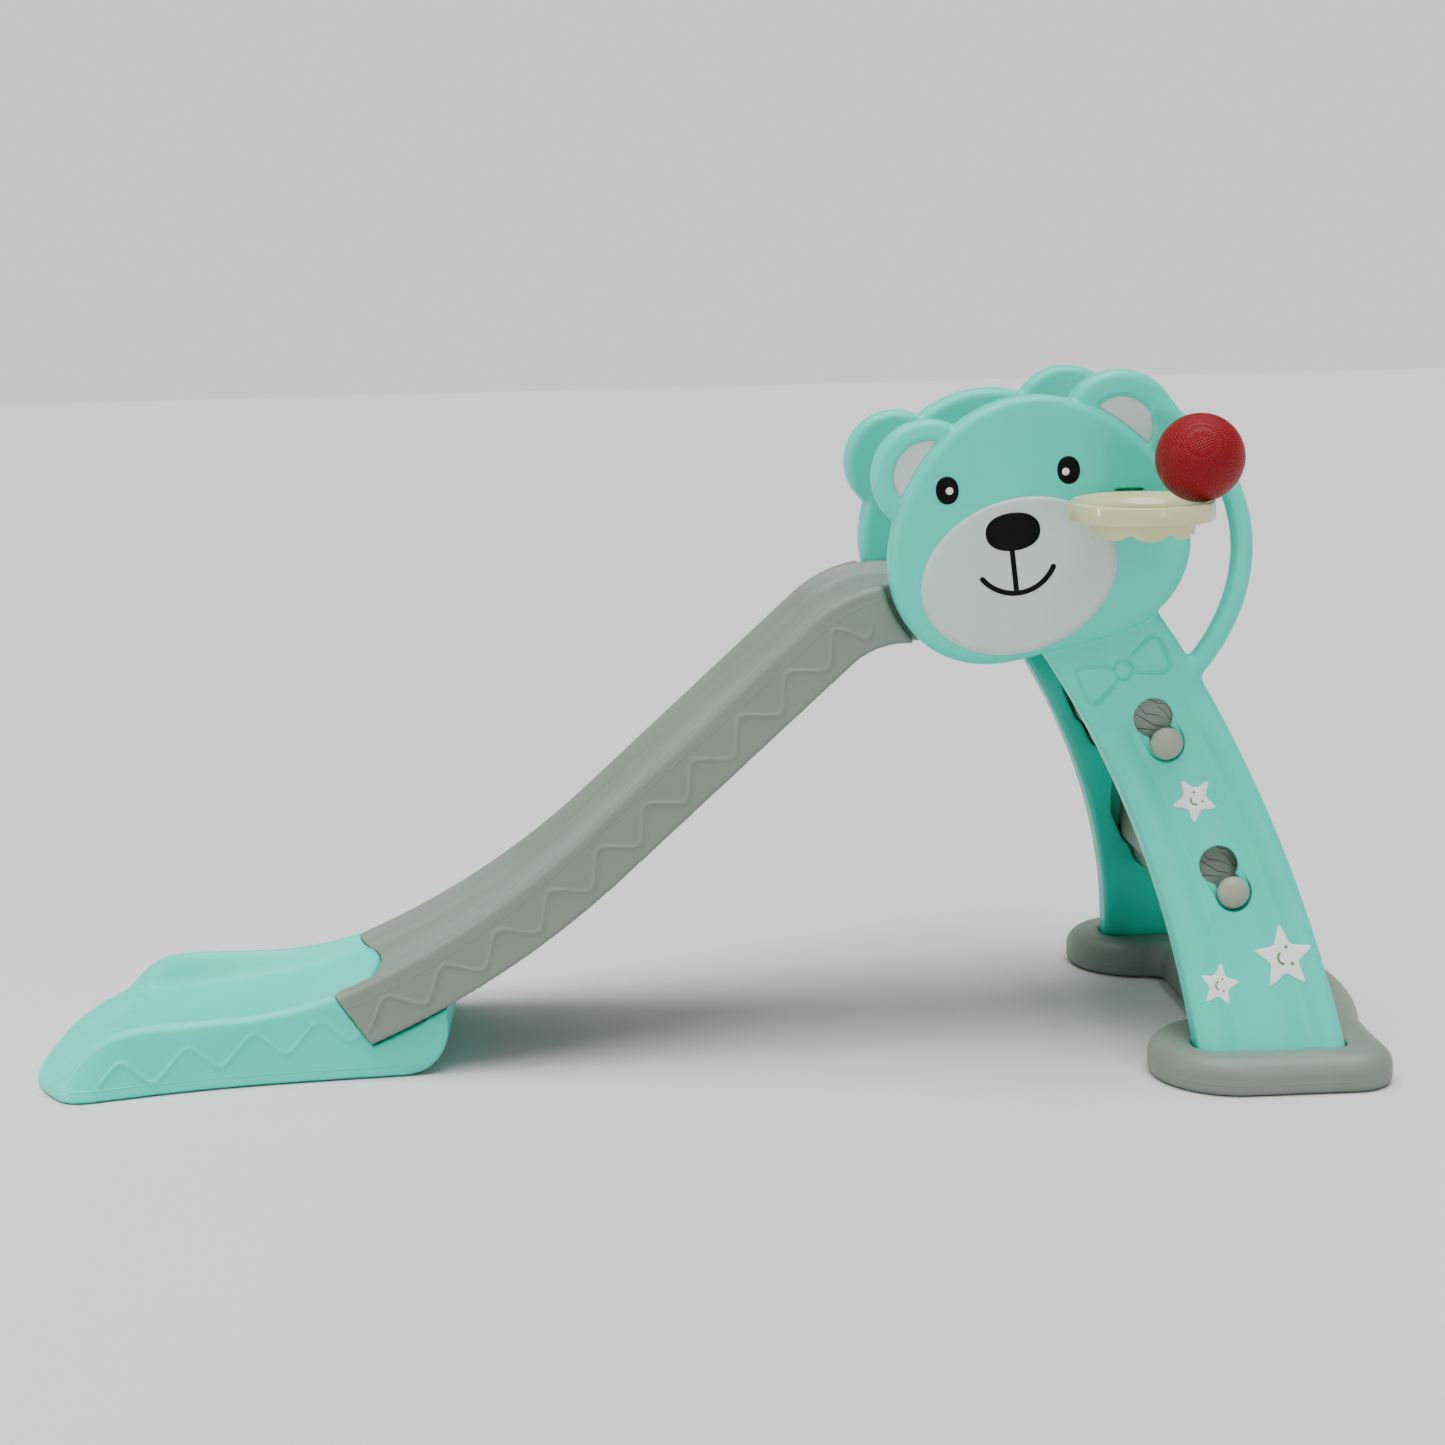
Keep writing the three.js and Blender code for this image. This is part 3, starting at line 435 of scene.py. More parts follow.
def plastic(name, colour, rough=0.42, grain=0.00012, spread=0.05, waves=0.0009):
    """Blow-moulded polyethylene: slight mottling, a fine skin, slow waves and a parting line."""
    shader = Shader(name)
    shader.set(IOR=1.5)
    mottle = shader.patchy(9.0, 4.0, 0.0, 1.0)
    base = shader.mix(mottle, tinted(colour, 1.0 - spread), tinted(colour, 1.0 + spread))
    dust = shader.ramp(shader.noise(170.0, 6.0, rough=0.7), 0.62, 0.8, 0.0, 0.22)
    shader.link(shader.mix(dust, base, tinted(colour, 1.22)), "Base Color")
    shader.link(shader.patchy(38.0, 5.0, rough - 0.06, rough + 0.08), "Roughness")
    slow = shader.bump(shader.noise(6.5, 1.0), waves * 3.0, 0.5)
    skin = shader.bump(shader.noise(520.0, 4.0, rough=0.6), grain, 0.55, slow)
    line = shader.node("Attribute", {"attribute_name": "parting"}).outputs["Fac"]
    width = shader.node("Math", {"operation": "ABSOLUTE"}, i0=line).outputs[0]
    ridge = shader.ramp(width, 0.25, 1.1, 1.0, 0.0)
    shader.link(shader.bump(ridge, 0.0004, 0.8, skin), "Normal")
    return shader.material


def film_material(name, colour, rough, wrinkle=0.0, shine=0.5):
    """A printed film: even, a little uneven where it was pressed on."""
    shader = Shader(name)
    shader.set(IOR=1.48, Specular_IOR_Level=shine)
    shade = shader.patchy(14.0, 3.0, 0.0, 1.0, stretch=(1.0, 1.0, 0.35))
    shader.link(shader.mix(shade, tinted(colour, 0.965), tinted(colour, 1.03)), "Base Color")
    shader.link(shader.patchy(60.0, 4.0, rough * 0.85, rough * 1.2), "Roughness")
    press = shader.bump(shader.noise(26.0, 2.0), 0.0006 + wrinkle, 0.45)
    shader.link(shader.bump(shader.noise(700.0, 2.0), 0.00004, 0.5, press), "Normal")
    return shader.material


def hoop_material():
    """Glossy injection-moulded cream plastic."""
    shader = Shader("cream_gloss_plastic")
    shader.set(IOR=1.52)
    cream = (0.56, 0.58, 0.31)
    shade = shader.patchy(24.0, 3.0, 0.0, 1.0)
    shader.link(shader.mix(shade, tinted(cream, 0.97), tinted(cream, 1.02)), "Base Color")
    shader.link(shader.patchy(90.0, 4.0, 0.08, 0.15), "Roughness")
    shader.link(shader.bump(shader.noise(40.0, 2.0), 0.0005, 0.25), "Normal")
    return shader.material


def ball_material():
    """Red vinyl with rows of small pebbles, painted shade in the hollows between them, and a faint mould line
    round the middle.
    """
    shader = Shader("red_pebbled_vinyl")
    shader.set(IOR=1.47)
    red = (0.25, 0.0003, 0.004)
    centre = (SHIFT.x + BALL["x"] * MM, SHIFT.y + BALL["y"] * MM, SHIFT.z + BALL["z"] * MM)
    local = shader.node("Mapping", Vector=shader.place, Location=tuple(-c for c in centre)).outputs["Vector"]
    turned = shader.node("Mapping", Vector=local, Rotation=(0.5, 0.35, 0.2)).outputs["Vector"]
    pebbles = shader.node("TexVoronoi", Vector=turned, Scale=340.0, Randomness=0.12).outputs["Distance"]
    height = shader.ramp(pebbles, 0.12, 0.55, 1.0, 0.0)
    split = shader.node("SeparateXYZ", Vector=local)
    level = shader.node("Math", {"operation": "ABSOLUTE"}, i0=split.outputs["Z"]).outputs[0]
    line = shader.ramp(level, 0.0003, 0.0011, 1.0, 0.0)
    # The colour darkens from the pebbles' tops into the hollows between them: painted shade.
    shade = shader.mix(height, tinted(red, 0.78), tinted(red, 1.04))
    mottle = shader.patchy(35.0, 3.0, 0.0, 0.35)
    shader.link(shader.mix(mottle, shade, tinted(red, 0.86)), "Base Color")
    shader.set(Specular_IOR_Level=0.22)
    shader.link(shader.ramp(height, 0.0, 1.0, 0.46, 0.3), "Roughness")
    dots = shader.bump(height, 0.001, 0.8)
    shader.link(shader.bump(line, 0.0004, 0.7, dots), "Normal")
    return shader.material


def steel_material():
    """Zinc-plated steel with fine drawing marks along Y."""
    shader = Shader("zinc_plated_steel")
    shader.set(Metallic=1.0)
    marks = shader.noise(260.0, 4.0, (1.0, 0.04, 1.0))
    shader.link(shader.mix(marks, (0.42, 0.43, 0.44), (0.66, 0.67, 0.68)), "Base Color")
    shader.link(shader.ramp(marks, 0.3, 0.7, 0.24, 0.42), "Roughness")
    shader.link(shader.bump(marks, 0.00008, 0.5), "Normal")
    return shader.material


def rubber_material():
    shader = Shader("black_rubber")
    grain = shader.noise(900.0, 3.0)
    shader.link(shader.mix(grain, (0.012, 0.012, 0.012), (0.03, 0.03, 0.03)), "Base Color")
    shader.link(shader.ramp(grain, 0.3, 0.7, 0.55, 0.7), "Roughness")
    shader.link(shader.bump(grain, 0.00006, 0.6), "Normal")
    return shader.material


TEAL = (0.004, 0.66, 0.49)
GREY = (0.172, 0.213, 0.174)
PALE = (0.50, 0.60, 0.56)
WHITE = linear(232, 236, 234)
mint = plastic("mint_polyethylene", TEAL)
grey = plastic("warm_grey_polyethylene", GREY, 0.46)
knob_grey = plastic("knob_grey_polyethylene", (0.30, 0.32, 0.255), 0.44)
pale_film = film_material("pale_printed_film", PALE, 0.34)
star_film = film_material("glossy_star_film", WHITE, 0.09, 0.0016)
ink = film_material("black_ink", (0.0005, 0.0005, 0.0006), 0.45, shine=0.12)
white_ink = film_material("white_ink", linear(225, 228, 228), 0.34)
green_ink = film_material("green_ink", linear(104, 142, 74), 0.3)
# Dark strips on the steps' ends stand for the shade inside their moulded grain lines: painted shade.
groove_shade_paint = film_material("dark_groove", linear(62, 72, 64), 0.6)
cream = hoop_material()
red_vinyl = ball_material()
steel = steel_material()
rubber = rubber_material()


# ---- side panels ------------------------------------------------------------------------------
# Panel fields use x, z and `out`, the distance outwards from the middle plane.
def leg_outer(z):
    """How far out the leg's outer face lies at height z; the leg flares towards the floor."""
    drop = np.maximum(FLARE["top"] - z, 0.0) / FLARE["top"]
    return FLARE["neck"] + FLARE["spread"] * drop ** FLARE["power"]


def leg_inner(z):
    return leg_outer(z) - FLARE["thick"] + FLARE["inset"] * smoothstep(380.0, 440.0, z)


def flute(across, z):
    """How far the leg's face lies below its crests: 1 at the two valleys, 0 on the three lobes."""
    low_u, high_u = FLUTES["low"], FLUTES["high"]
    first = (across + 0.05) / (low_u + 0.05)
    middle = (across - low_u) / (high_u - low_u)
    last = (across - high_u) / (1.05 - high_u)
    place = np.where(across < low_u, first, np.where(across < high_u, middle, last))
    lobe = np.sin(math.pi * np.clip(place, 0.0, 1.0))
    return (1.0 - np.sqrt(lobe**2 + 0.04)) * smoothstep(430.0, 330.0, z)


def bow_relief(x, z):
    """Raised height of the moulded bow tie, with a groove round its wings and its knot."""
    lean = math.radians(BOW["lean"])
    dx, dz = x - BOW["x"], z - BOW["z"]
    u = np.abs(dx * math.cos(lean) + dz * math.sin(lean))
    v = dz * math.cos(lean) - dx * math.sin(lean)
    wing = corner((np.abs(v) - 8.5 - 0.4 * (u - 8.0)) * 0.93, np.maximum(u - BOW["wing"], 5.0 - u), 13.0)
    knot = np.hypot(u, v) - BOW["knot"]
    apart = smoothstep(-1.0, 2.5, knot)
    height = (0.4 + 2.6 * smoothstep(8.0, 40.0, u)) * smoothstep(1.2, -4.0, wing) * apart
    height = height - 1.7 * np.exp(-((wing / 1.8) ** 2)) * apart
    return height + 3.0 * smoothstep(1.0, -5.0, knot) - 1.6 * np.exp(-(((knot - 0.5) / 1.5) ** 2))


def leg_field(x, out, z):
    """The leg between two arcs, with its flutes and bow tie."""
    fx, fz, fr = LEG["front"]
    bx, bz, br = LEG["back"]
    front = fr - np.hypot(x - fx, z - fz)
    back = np.hypot(x - bx, z - bz) - br
    across = front / np.minimum(front + back, -1.0)
    dip = flute(across, z)
    lean = FLARE["spread"] * FLARE["power"] / FLARE["top"]
    slope = lean * (np.maximum(FLARE["top"] - z, 0.0) / FLARE["top"]) ** (FLARE["power"] - 1.0)
    scale = 1.0 / np.sqrt(1.0 + slope**2)
    face = leg_outer(z) - FLUTES["outer"] * dip + bow_relief(x, z)
    inner = leg_inner(z) + FLUTES["inner"] * dip
    sides = corner(front, back, PANEL["leg_edge"])
    faces = np.maximum((out - face) * scale, (inner - out) * scale)
    return corner(sides, faces, PANEL["leg_edge"])


HANDLE_ARMS = [(x - HANDLE["x"], z - HANDLE["z"]) for x, z in HANDLE_PATH]
HANDLE_POLAR = [(math.atan2(z, x), math.hypot(x, z)) for x, z in HANDLE_ARMS]
HANDLE_CURVE = np.polyfit(*zip(*HANDLE_POLAR), 4)
HANDLE_TURN = np.polyder(HANDLE_CURVE)


def handle_field(x, out, z):
    """The loop behind the head: an oval bar along a curve given in polar form."""
    dx, dz = x - HANDLE["x"], z - HANDLE["z"]
    angle = np.clip(np.arctan2(dz, dx), -1.12, 1.3)
    reach = np.polyval(HANDLE_CURVE, angle)
    skew = np.cos(np.arctan(np.polyval(HANDLE_TURN, angle) / reach))
    aside = (np.hypot(dx, dz) - reach) * skew
    past = np.abs(np.arctan2(dz, dx) - 0.09) - 1.2
    a, b = HANDLE["width"] / 2, HANDLE["depth"] / 2
    u, v = np.abs(aside) / a, np.abs(out - HANDLE["y"]) / b
    power = HANDLE["power"]
    size = np.maximum((u**power + v**power) ** (1.0 / power), 1e-3)
    steep = np.sqrt((u ** (power - 1.0) / a) ** 2 + (v ** (power - 1.0) / b) ** 2 + 1e-6)
    bar = (size - 1.0) / steep * size ** (power - 1.0)
    return np.maximum(bar, past * 100.0)


def up_slot(knob, distance):
    """The place that is `distance` up a keyhole's slot from the knob."""
    lean = math.radians(KEYHOLE["lean"])
    return knob[0] - distance * math.sin(lean), knob[1] + distance * math.cos(lean)


def pocket_floor(knob, z):
    """How far out the pocket for a step's end reaches at height z, with a skin left under the flutes."""
    top = up_slot(knob, KEYHOLE["travel"])[1] + KEYHOLE["hole"]
    skin = 3.3 + 0.8 * FLUTES["outer"] * smoothstep(430.0, 330.0, z)
    return np.minimum(leg_outer(np.array(top)) - POCKET_WALL, leg_outer(z) - skin)


def step_section(x, z, knob, fillet=9.0):
    """Distance from a step's section: a rounded tread and the round keel under it."""
    mid_x, half_x = (STEP["front"] + STEP["back"]) / 2, (STEP["back"] - STEP["front"]) / 2
    mid_z, half_z = (STEP["under"] + STEP["top"]) / 2, (STEP["top"] - STEP["under"]) / 2
    dx, dz = x - knob[0], z - knob[1]
    tread = corner(np.abs(dx - mid_x) - half_x, np.abs(dz - mid_z) - half_z, STEP["corner"])
    return join(tread, circle(dx, dz, STEP["keel_x"], STEP["keel_z"], STEP["keel_r"]), fillet)


def keyhole_cuts(x, out, z, name):
    """The entry hole and the slot, the ramp that the knob sits in, and the pocket behind them."""
    knob = KNOBS[name]
    hole = circle(x, z, *up_slot(knob, KEYHOLE["travel"]), KEYHOLE["hole"])
    slot = capsule(x, z, knob, up_slot(knob, KEYHOLE["travel"]), KEYHOLE["slot"])
    shelf = capsule(x, z, knob, up_slot(knob, KEYHOLE["travel"] * KEYHOLE["opened"]), KEYHOLE["recess"])
    floor = leg_outer(np.array(knob[1])) - RECESS[name]
    places = [up_slot(knob, KEYHOLE["travel"] * share) for share in (0.0, 0.25, 0.5, 0.75, 1.0)]
    swept = np.minimum.reduce([step_section(x, z, place) for place in places]) - STEP["play"]
    pocket = np.maximum(swept, out - pocket_floor(knob, z))
    return np.minimum(hole, slot), np.maximum(shelf, floor - out), pocket


def ear_print(x, z, ear):
    """Distance from the leaf-shaped print inside an ear, which the head's outline cuts off."""
    disc = circle(x, z, ear["x"], ear["z"], ear["film_r"])
    return corner(disc, EAR["film_gap"] - head_edge(x, z), EAR["corner"])


def panel_field(x, out, z, hooked=False):
    """A whole side panel; `hooked` cuts the slot for the hoop's tongue."""
    head = head_edge(x, z)
    middle, half = (PANEL["outer"] + PANEL["inner"]) / 2, (PANEL["outer"] - PANEL["inner"]) / 2
    body = corner(head, np.abs(out - middle) - half, PANEL["head_edge"])
    for ear in EARS:
        outline = circle(x, z, ear["x"], ear["z"], ear["r"])
        face = EAR["outer"] - EAR["recess"] * smoothstep(4.5, -0.5, ear_print(x, z, ear))
        lobe = corner(outline, np.maximum(out - face, PANEL["inner"] - out), EAR["edge"])
        body = join(body, lobe, 3.0)
    leg = leg_field(x, out, z)
    leg = np.maximum(leg, np.maximum(LEG["foot"] - z, z - LEG["top"]))
    body = join(body, leg, 4.0 + 5.0 * smoothstep(465.0, 480.0, x))
    body = join(body, handle_field(x, out, z), 9.0)
    for bore in (PIVOT, REST):
        hole = np.maximum(circle(x, z, bore["x"], bore["z"], bore["r"] + PIVOT["play"]), out - BORE_DEPTH)
        body = cut(body, hole, 1.0)
    for name in KNOBS:
        opening, recess, pocket = keyhole_cuts(x, out, z, name)
        body = cut(body, pocket, 1.5 + 3.0 * smoothstep(14.0, 8.0, out - leg_inner(z)))
        body = cut(body, recess, 2.6)
        body = cut(body, opening, 2.6)
    if hooked:
        low_z = HOOP["z"] - TONGUE["low"] - 0.6
        high_z = HOOP["z"] - TONGUE["high"] + TONGUE["travel"] + 2.0
        slot = np.abs(x - TONGUE["x"]) - TONGUE["width"] / 2 - 1.0
        slot = corner(slot, np.abs(z - (low_z + high_z) / 2) - (high_z - low_z) / 2, 2.0)
        body = cut(body, np.maximum(slot, PANEL["outer"] - TONGUE["depth"] - 1.0 - out), 1.2)
    return body


def panel_detail(x, out, z):
    """Where the panel has small shapes: bow, keyholes, ear prints and the head's rim."""
    near = np.abs(x - BOW["x"]) < 62.0
    near &= np.abs(z - BOW["z"]) < 46.0
    near &= out > 145.0
    for name, knob in KNOBS.items():
        near |= np.abs(capsule(x, z, knob, up_slot(knob, KEYHOLE["travel"]), 20.0)) < 5.0
        near |= (np.abs(keyhole_cuts(x, out, z, name)[2]) < 4.5) & (out < leg_inner(z) + 5.0)
    for ear in EARS:
        near |= (np.abs(ear_print(x, z, ear)) < 6.0) & (out > 150.0)
    near |= (np.abs(head_edge(x, z)) < 4.0) & (out > 155.0)
    return near


def panel_seam(x, out, z):
    middle = (PANEL["outer"] + PANEL["inner"]) / 2
    blend = smoothstep(470.0, 420.0, z)
    return out - (middle + (leg_outer(z) - FLARE["thick"] / 2 - middle) * blend)


PANEL_STEP = 3.0
PANEL_LOW = (160.0, 100.0, 0.0)
PANEL_HIGH = (690.0, 290.0, 760.0)


def side_panel(name, side):
    def field(x, out, z):
        return panel_field(x, out, z, side == NEAR)

    piece = moulded(name + "_moulding", field, PANEL_LOW, PANEL_HIGH, PANEL_STEP, mint, panel_detail,
                    panel_seam, side == NEAR, (146.0, 197.0))
    install(piece, "frame", name)


def panel_face(x, z, hint):
    """How far out the panel's outer face lies at each (x, z), found by halving."""
    x, z = np.asarray(x, float), np.asarray(z, float)
    outside = np.full(x.shape, hint + 12.0)
    inside = np.full(x.shape, hint - 16.0)
    for _ in range(24):
        between = (outside + inside) / 2
        solid = panel_field(x, between, z) < 0.0
        inside = np.where(solid, between, inside)
        outside = np.where(solid, outside, between)
    return (outside + inside) / 2


# ---- printed films ----------------------------------------------------------------------------
def disc_points(centre, outline, rings=7, spokes=96):
    """Points of a patch round `centre` out to where `outline` is zero, ring by ring, and its faces."""
    angles = np.linspace(0.0, 2.0 * math.pi, spokes, endpoint=False)
    near_r, far_r = np.zeros(spokes), np.full(spokes, 140.0)
    for _ in range(30):
        r = (near_r + far_r) / 2
        inside = outline(centre[0] + r * np.cos(angles), centre[1] + r * np.sin(angles)) < 0.0
        near_r = np.where(inside, r, near_r)
        far_r = np.where(inside, far_r, r)
    shares = np.linspace(0.0, 1.0, rings + 1)[1:]
    points = [np.array([[centre[0], centre[1]]])]
    for share in shares:
        r = near_r * share
        points.append(np.stack([centre[0] + r * np.cos(angles), centre[1] + r * np.sin(angles)], 1))
    faces = [[0, 1 + j, 1 + (j + 1) % spokes] for j in range(spokes)]
    for i in range(rings - 1):
        for j in range(spokes):
            k = (j + 1) % spokes
            a, b = 1 + i * spokes, 1 + (i + 1) * spokes
            faces.append([a + j, b + j, b + k, a + k])
    return np.concatenate(points), faces, spokes


def patch(centre, outline, hint, lift, side, rings=7, spokes=96, thick=0.45):
    """A thin film on the panel's face: its top, and an edge that goes down to the face."""
    flat, faces, spokes = disc_points(centre, outline, rings, spokes)
    out = panel_face(flat[:, 0], flat[:, 1], hint) + lift
    top = np.stack([flat[:, 0], out, flat[:, 1]], 1)
    rim = top[-spokes:].copy()
    rim[:, 1] -= thick
    first, last = len(top) - spokes, len(top)
    for j in range(spokes):
        k = (j + 1) % spokes
        faces.append([first + j, last + j, last + k, first + k])
    points = np.concatenate([top, rim])
    points[:, 1] *= side
    if side == FAR:
        faces = [f[::-1] for f in faces]
    return points, faces


def stroke(path, width, hint, lift, side, thick=0.35):
    """A drawn line with round ends on the panel's face, along a path of (x, z) points."""
    path = np.asarray(path, float)
    half = width / 2
    ahead = np.gradient(path, axis=0)
    ahead /= np.linalg.norm(ahead, axis=1)[:, None]
    aside = np.stack([-ahead[:, 1], ahead[:, 0]], 1)
    turns = np.linspace(0.0, math.pi / 2, 6)[1:, None]
    reach, span = half * np.sin(turns), half * np.cos(turns) + 1e-3
    middle = np.concatenate([path[0] - ahead[0] * reach[::-1], path, path[-1] + ahead[-1] * reach])
    spread = np.concatenate([aside[0] * span[::-1], aside * half, aside[-1] * span])
    left, right = middle + spread, middle - spread
    rows = []
    for edge, drop in ((left, thick), (left, 0.0), (right, 0.0), (right, thick)):
        out = panel_face(edge[:, 0], edge[:, 1], hint) + lift - drop
        rows.append(np.stack([edge[:, 0], out * side, edge[:, 1]], 1))
    count = len(left)
    faces = []
    for i in range(3):
        for j in range(count - 1):
            face = [i * count + j, (i + 1) * count + j, (i + 1) * count + j + 1, i * count + j + 1]
            faces.append(face if side == NEAR else face[::-1])
    return np.concatenate(rows), faces


def add_film(name, node, parts, materials):
    """One film piece from (points, faces) parts, each with its own material."""
    points, faces = joined(parts)
    kinds = [k for k, (_, part_faces) in enumerate(parts) for _ in part_faces]
    piece = add_mesh(name, points, faces, None, materials, kinds)
    install(piece, "frame", node)


def star_outline(x, z, size, turn):
    """Distance, roughly, from a five-armed star with tapering arms, round tips and round inner corners."""
    sector = math.radians(72.0)
    angle = np.arctan2(z, x) - math.radians(90.0 + turn)
    away = np.abs(angle - sector * np.round(angle / sector))
    reach = np.hypot(x, z)
    arms = []
    for side in (away, sector - away):
        ahead, aside = reach * np.cos(side), reach * np.sin(side)
        arms.append(STAR["slim"] * (ahead - size) + 0.933 * (np.sqrt(aside**2 + 1.7) - 1.3))
    return join(arms[0], arms[1], STAR["fillet"])


def dot(cx, cz, r):
    """The outline of a round spot."""
    return lambda x, z: circle(x, z, cx, cz, r)


def star_parts(place, side):
    x, z, size, turn, face_turn = place
    hint = leg_outer(np.array(z)).item()

    def outline(px, pz):
        return star_outline(px - x, pz - z, size, turn)

    up = math.radians(face_turn)

    def spot(u, v):
        """A place on the star's face, `v` towards its eyes and `u` to their left."""
        across, along = v * math.cos(up) - u * math.sin(up), v * math.sin(up) + u * math.cos(up)
        return x + size * across, z + size * along

    parts = [patch((x, z), outline, hint, LIFT["film"], side, 9, 120)]
    for eye in (-0.27, 0.27):
        ex, ez = spot(eye, 0.2)
        parts.append(patch((ex, ez), dot(ex, ez, size * 0.058), hint, LIFT["star_ink"], side, 2, 20))
    angles = np.linspace(math.radians(115.0), math.radians(245.0), 9)
    curve = [spot(0.19 * math.sin(a), 0.19 * math.cos(a)) for a in angles]
    parts.append(stroke(curve, size * 0.085, hint, LIFT["star_ink"], side))
    return parts


def face_films(word, side):
    face = PANEL["outer"]

    def muzzle(x, z):
        return oval(x, z, MUZZLE)

    def nose(x, z):
        return oval(x, z, NOSE)

    add_film(f"{word}_muzzle_print", f"{word}_muzzle_film",
             [patch((MUZZLE["x"], MUZZLE["z"]), muzzle, face, LIFT["film"], side, 14, 160)], [pale_film])
    add_film(f"{word}_nose", f"{word}_nose_print",
             [patch((NOSE["x"], NOSE["z"]), nose, face, LIFT["nose"], side, 5, 96)], [ink])
    mid = math.radians(-90.0 + 9.0)
    spread = math.radians(SMILE["spread"])
    arc = [(SMILE["x"] + SMILE["r"] * math.cos(a), SMILE["z"] + SMILE["r"] * math.sin(a))
           for a in np.linspace(mid - spread, mid + spread, 41)]
    foot = (SMILE["x"] + 2.5, SMILE["z"] - SMILE["r"])
    stem = [tuple(np.array(SMILE["stem"]) * (1 - t) + np.array(foot) * t) for t in np.linspace(0, 1, 12)]
    add_film(f"{word}_smile", f"{word}_smile_print",
             [stroke(arc, SMILE["line"], face, LIFT["smile"], side),
              stroke(stem, SMILE["line"], face, LIFT["stem"], side)],
             [ink, ink])
    for place, (x, z, glint_x, glint_z) in EYES.items():
        shape = {"x": x, "z": z, **EYE}
        gx, gz = x + glint_x, z + glint_z
        add_film(f"{word}_{place}_eye_print", f"{word}_{place}_eye", [
            patch((x, z), lambda px, pz, s=shape: oval(px, pz, s), face, LIFT["film"], side, 4, 72),
            patch((gx, gz), dot(gx, gz, EYE["glint"]), face, LIFT["glint"], side, 2, 32),
        ], [ink, white_ink])
    for ear, place in zip(EARS, ("front", "back")):
        away = np.array([ear["x"] - HEAD["x"], ear["z"] - HEAD["z"]])
        away = away / np.linalg.norm(away) * 20.0
        add_film(f"{word}_{place}_ear_print", f"{word}_{place}_ear_film", [
            patch((ear["x"] + away[0], ear["z"] + away[1]), lambda px, pz, e=ear: ear_print(px, pz, e),
                  EAR["outer"], LIFT["ear"], side, 8, 110),
        ], [pale_film])
    for i, place in enumerate(STARS):
        add_film(f"{word}_star_print_{i + 1}", f"{word}_star_{i + 1}", star_parts(place, side),
                 [star_film, green_ink, green_ink, green_ink])


for side_name, side_sign in (("near", NEAR), ("far", FAR)):
    side_panel(f"{side_name}_side_panel", side_sign)
    face_films(side_name, side_sign)


# ---- base plate -------------------------------------------------------------------------------
def base_field(x, y, z):
    """Two feet with sockets for the legs, and the plate between them with its round lobe."""
    side = np.abs(y)
    mid_x, mid_y = (BASE["x0"] + BASE["x1"]) / 2, (BASE["y0"] + BASE["y1"]) / 2
    half_x, half_y = (BASE["x1"] - BASE["x0"]) / 2, (BASE["y1"] - BASE["y0"]) / 2
    reach = np.abs(x - mid_x) - half_x
    front_end = corner(reach, np.abs(side - mid_y) - half_y, BASE["front"])
    back_end = corner(reach, np.abs(side - mid_y) - half_y, BASE["back"])
    foot = np.where(x < mid_x, front_end, back_end)
    bulge = (BRIDGE["half"] ** 2 + BRIDGE["bulge"] ** 2) / (2.0 * BRIDGE["bulge"])
    lobe = np.hypot(x - (BRIDGE["back"] + BRIDGE["bulge"] - bulge), y) - bulge
    bridge = np.maximum(lobe, np.maximum(BRIDGE["front"] - x, side - BRIDGE["half"] - 8.0))
    outline = join(foot, bridge, 22.0)
    dish = 4.5 * smoothstep(-18.0, -52.0, outline)
    field = corner(outline, z - (BASE["height"] - dish), 20.0)
    field = corner(field, -z, 9.0)
    leg = np.maximum(leg_field(x, side, z), LEG["foot"] - BASE["play"] - z)
    return cut(field, leg - BASE["play"], 5.0)


def base_detail(x, y, z):
    return np.abs(leg_field(x, np.abs(y), z) - BASE["play"]) < 6.0


base = moulded("base_plate_moulding", base_field, (430.0, -322.0, -6.0), (745.0, 322.0, 48.0),
               4.0, grey, base_detail, lambda x, y, z: z - 13.0)
install(base, "frame", "base_plate")


# ---- steps ------------------------------------------------------------------------------------
def step_end(knob, z):
    """Half length of a step at height z: it stays inside its pocket wherever it is in its slot."""
    rise = KEYHOLE["travel"] * math.cos(math.radians(KEYHOLE["lean"]))
    return pocket_floor(knob, z + rise) - STEP["play"]


def step_field(knob):
    def field(x, y, z):
        dx, dz = x - knob[0], z - knob[1]
        end = step_end(knob, z)
        side = np.abs(y)
        tread = smoothstep(24.0, 16.0, np.abs(dx - 1.0)) * smoothstep(38.0, 46.0, end - side)
        ribs = tread * (0.5 - 0.5 * np.cos(2.0 * math.pi * dx / 11.0)) * smoothstep(20.0, 40.0, dz)
        section = step_section(x, z, knob) + 0.9 * ribs
        return corner(section, (side - end) * 0.97, 4.0)

    return field


def knob_parts(name):
    """The two round knobs and their necks."""
    knob = KNOBS[name]
    dome = [(0.0, KNOB["length"])]
    for t in np.linspace(8.0, 90.0, 12):
        a = math.radians(t)
        dome.append((KNOB["r"] * math.sin(a), 5.5 + (KNOB["length"] - 5.5) * math.cos(a)))
    dome += [(KNOB["r"], 3.5), (KNOB["r"] - 0.5, 1.4), (KNOB["r"] - 2.0, 0.3), (KNOB["neck"], 0.0)]
    dome += [(KNOB["neck"], -34.0), (0.01, -34.0)]
    points, faces = lathe([(max(r, 0.01), h) for r, h in dome][::-1], 72)
    face = leg_outer(np.array(knob[1])) - RECESS[name] + 0.3
    parts = []
    for side in (NEAR, FAR):
        turned = np.stack([points[:, 0] + knob[0], side * (points[:, 2] + face), points[:, 1] + knob[1]], 1)
        parts.append((turned, faces if side == NEAR else [f[::-1] for f in faces]))
    return parts


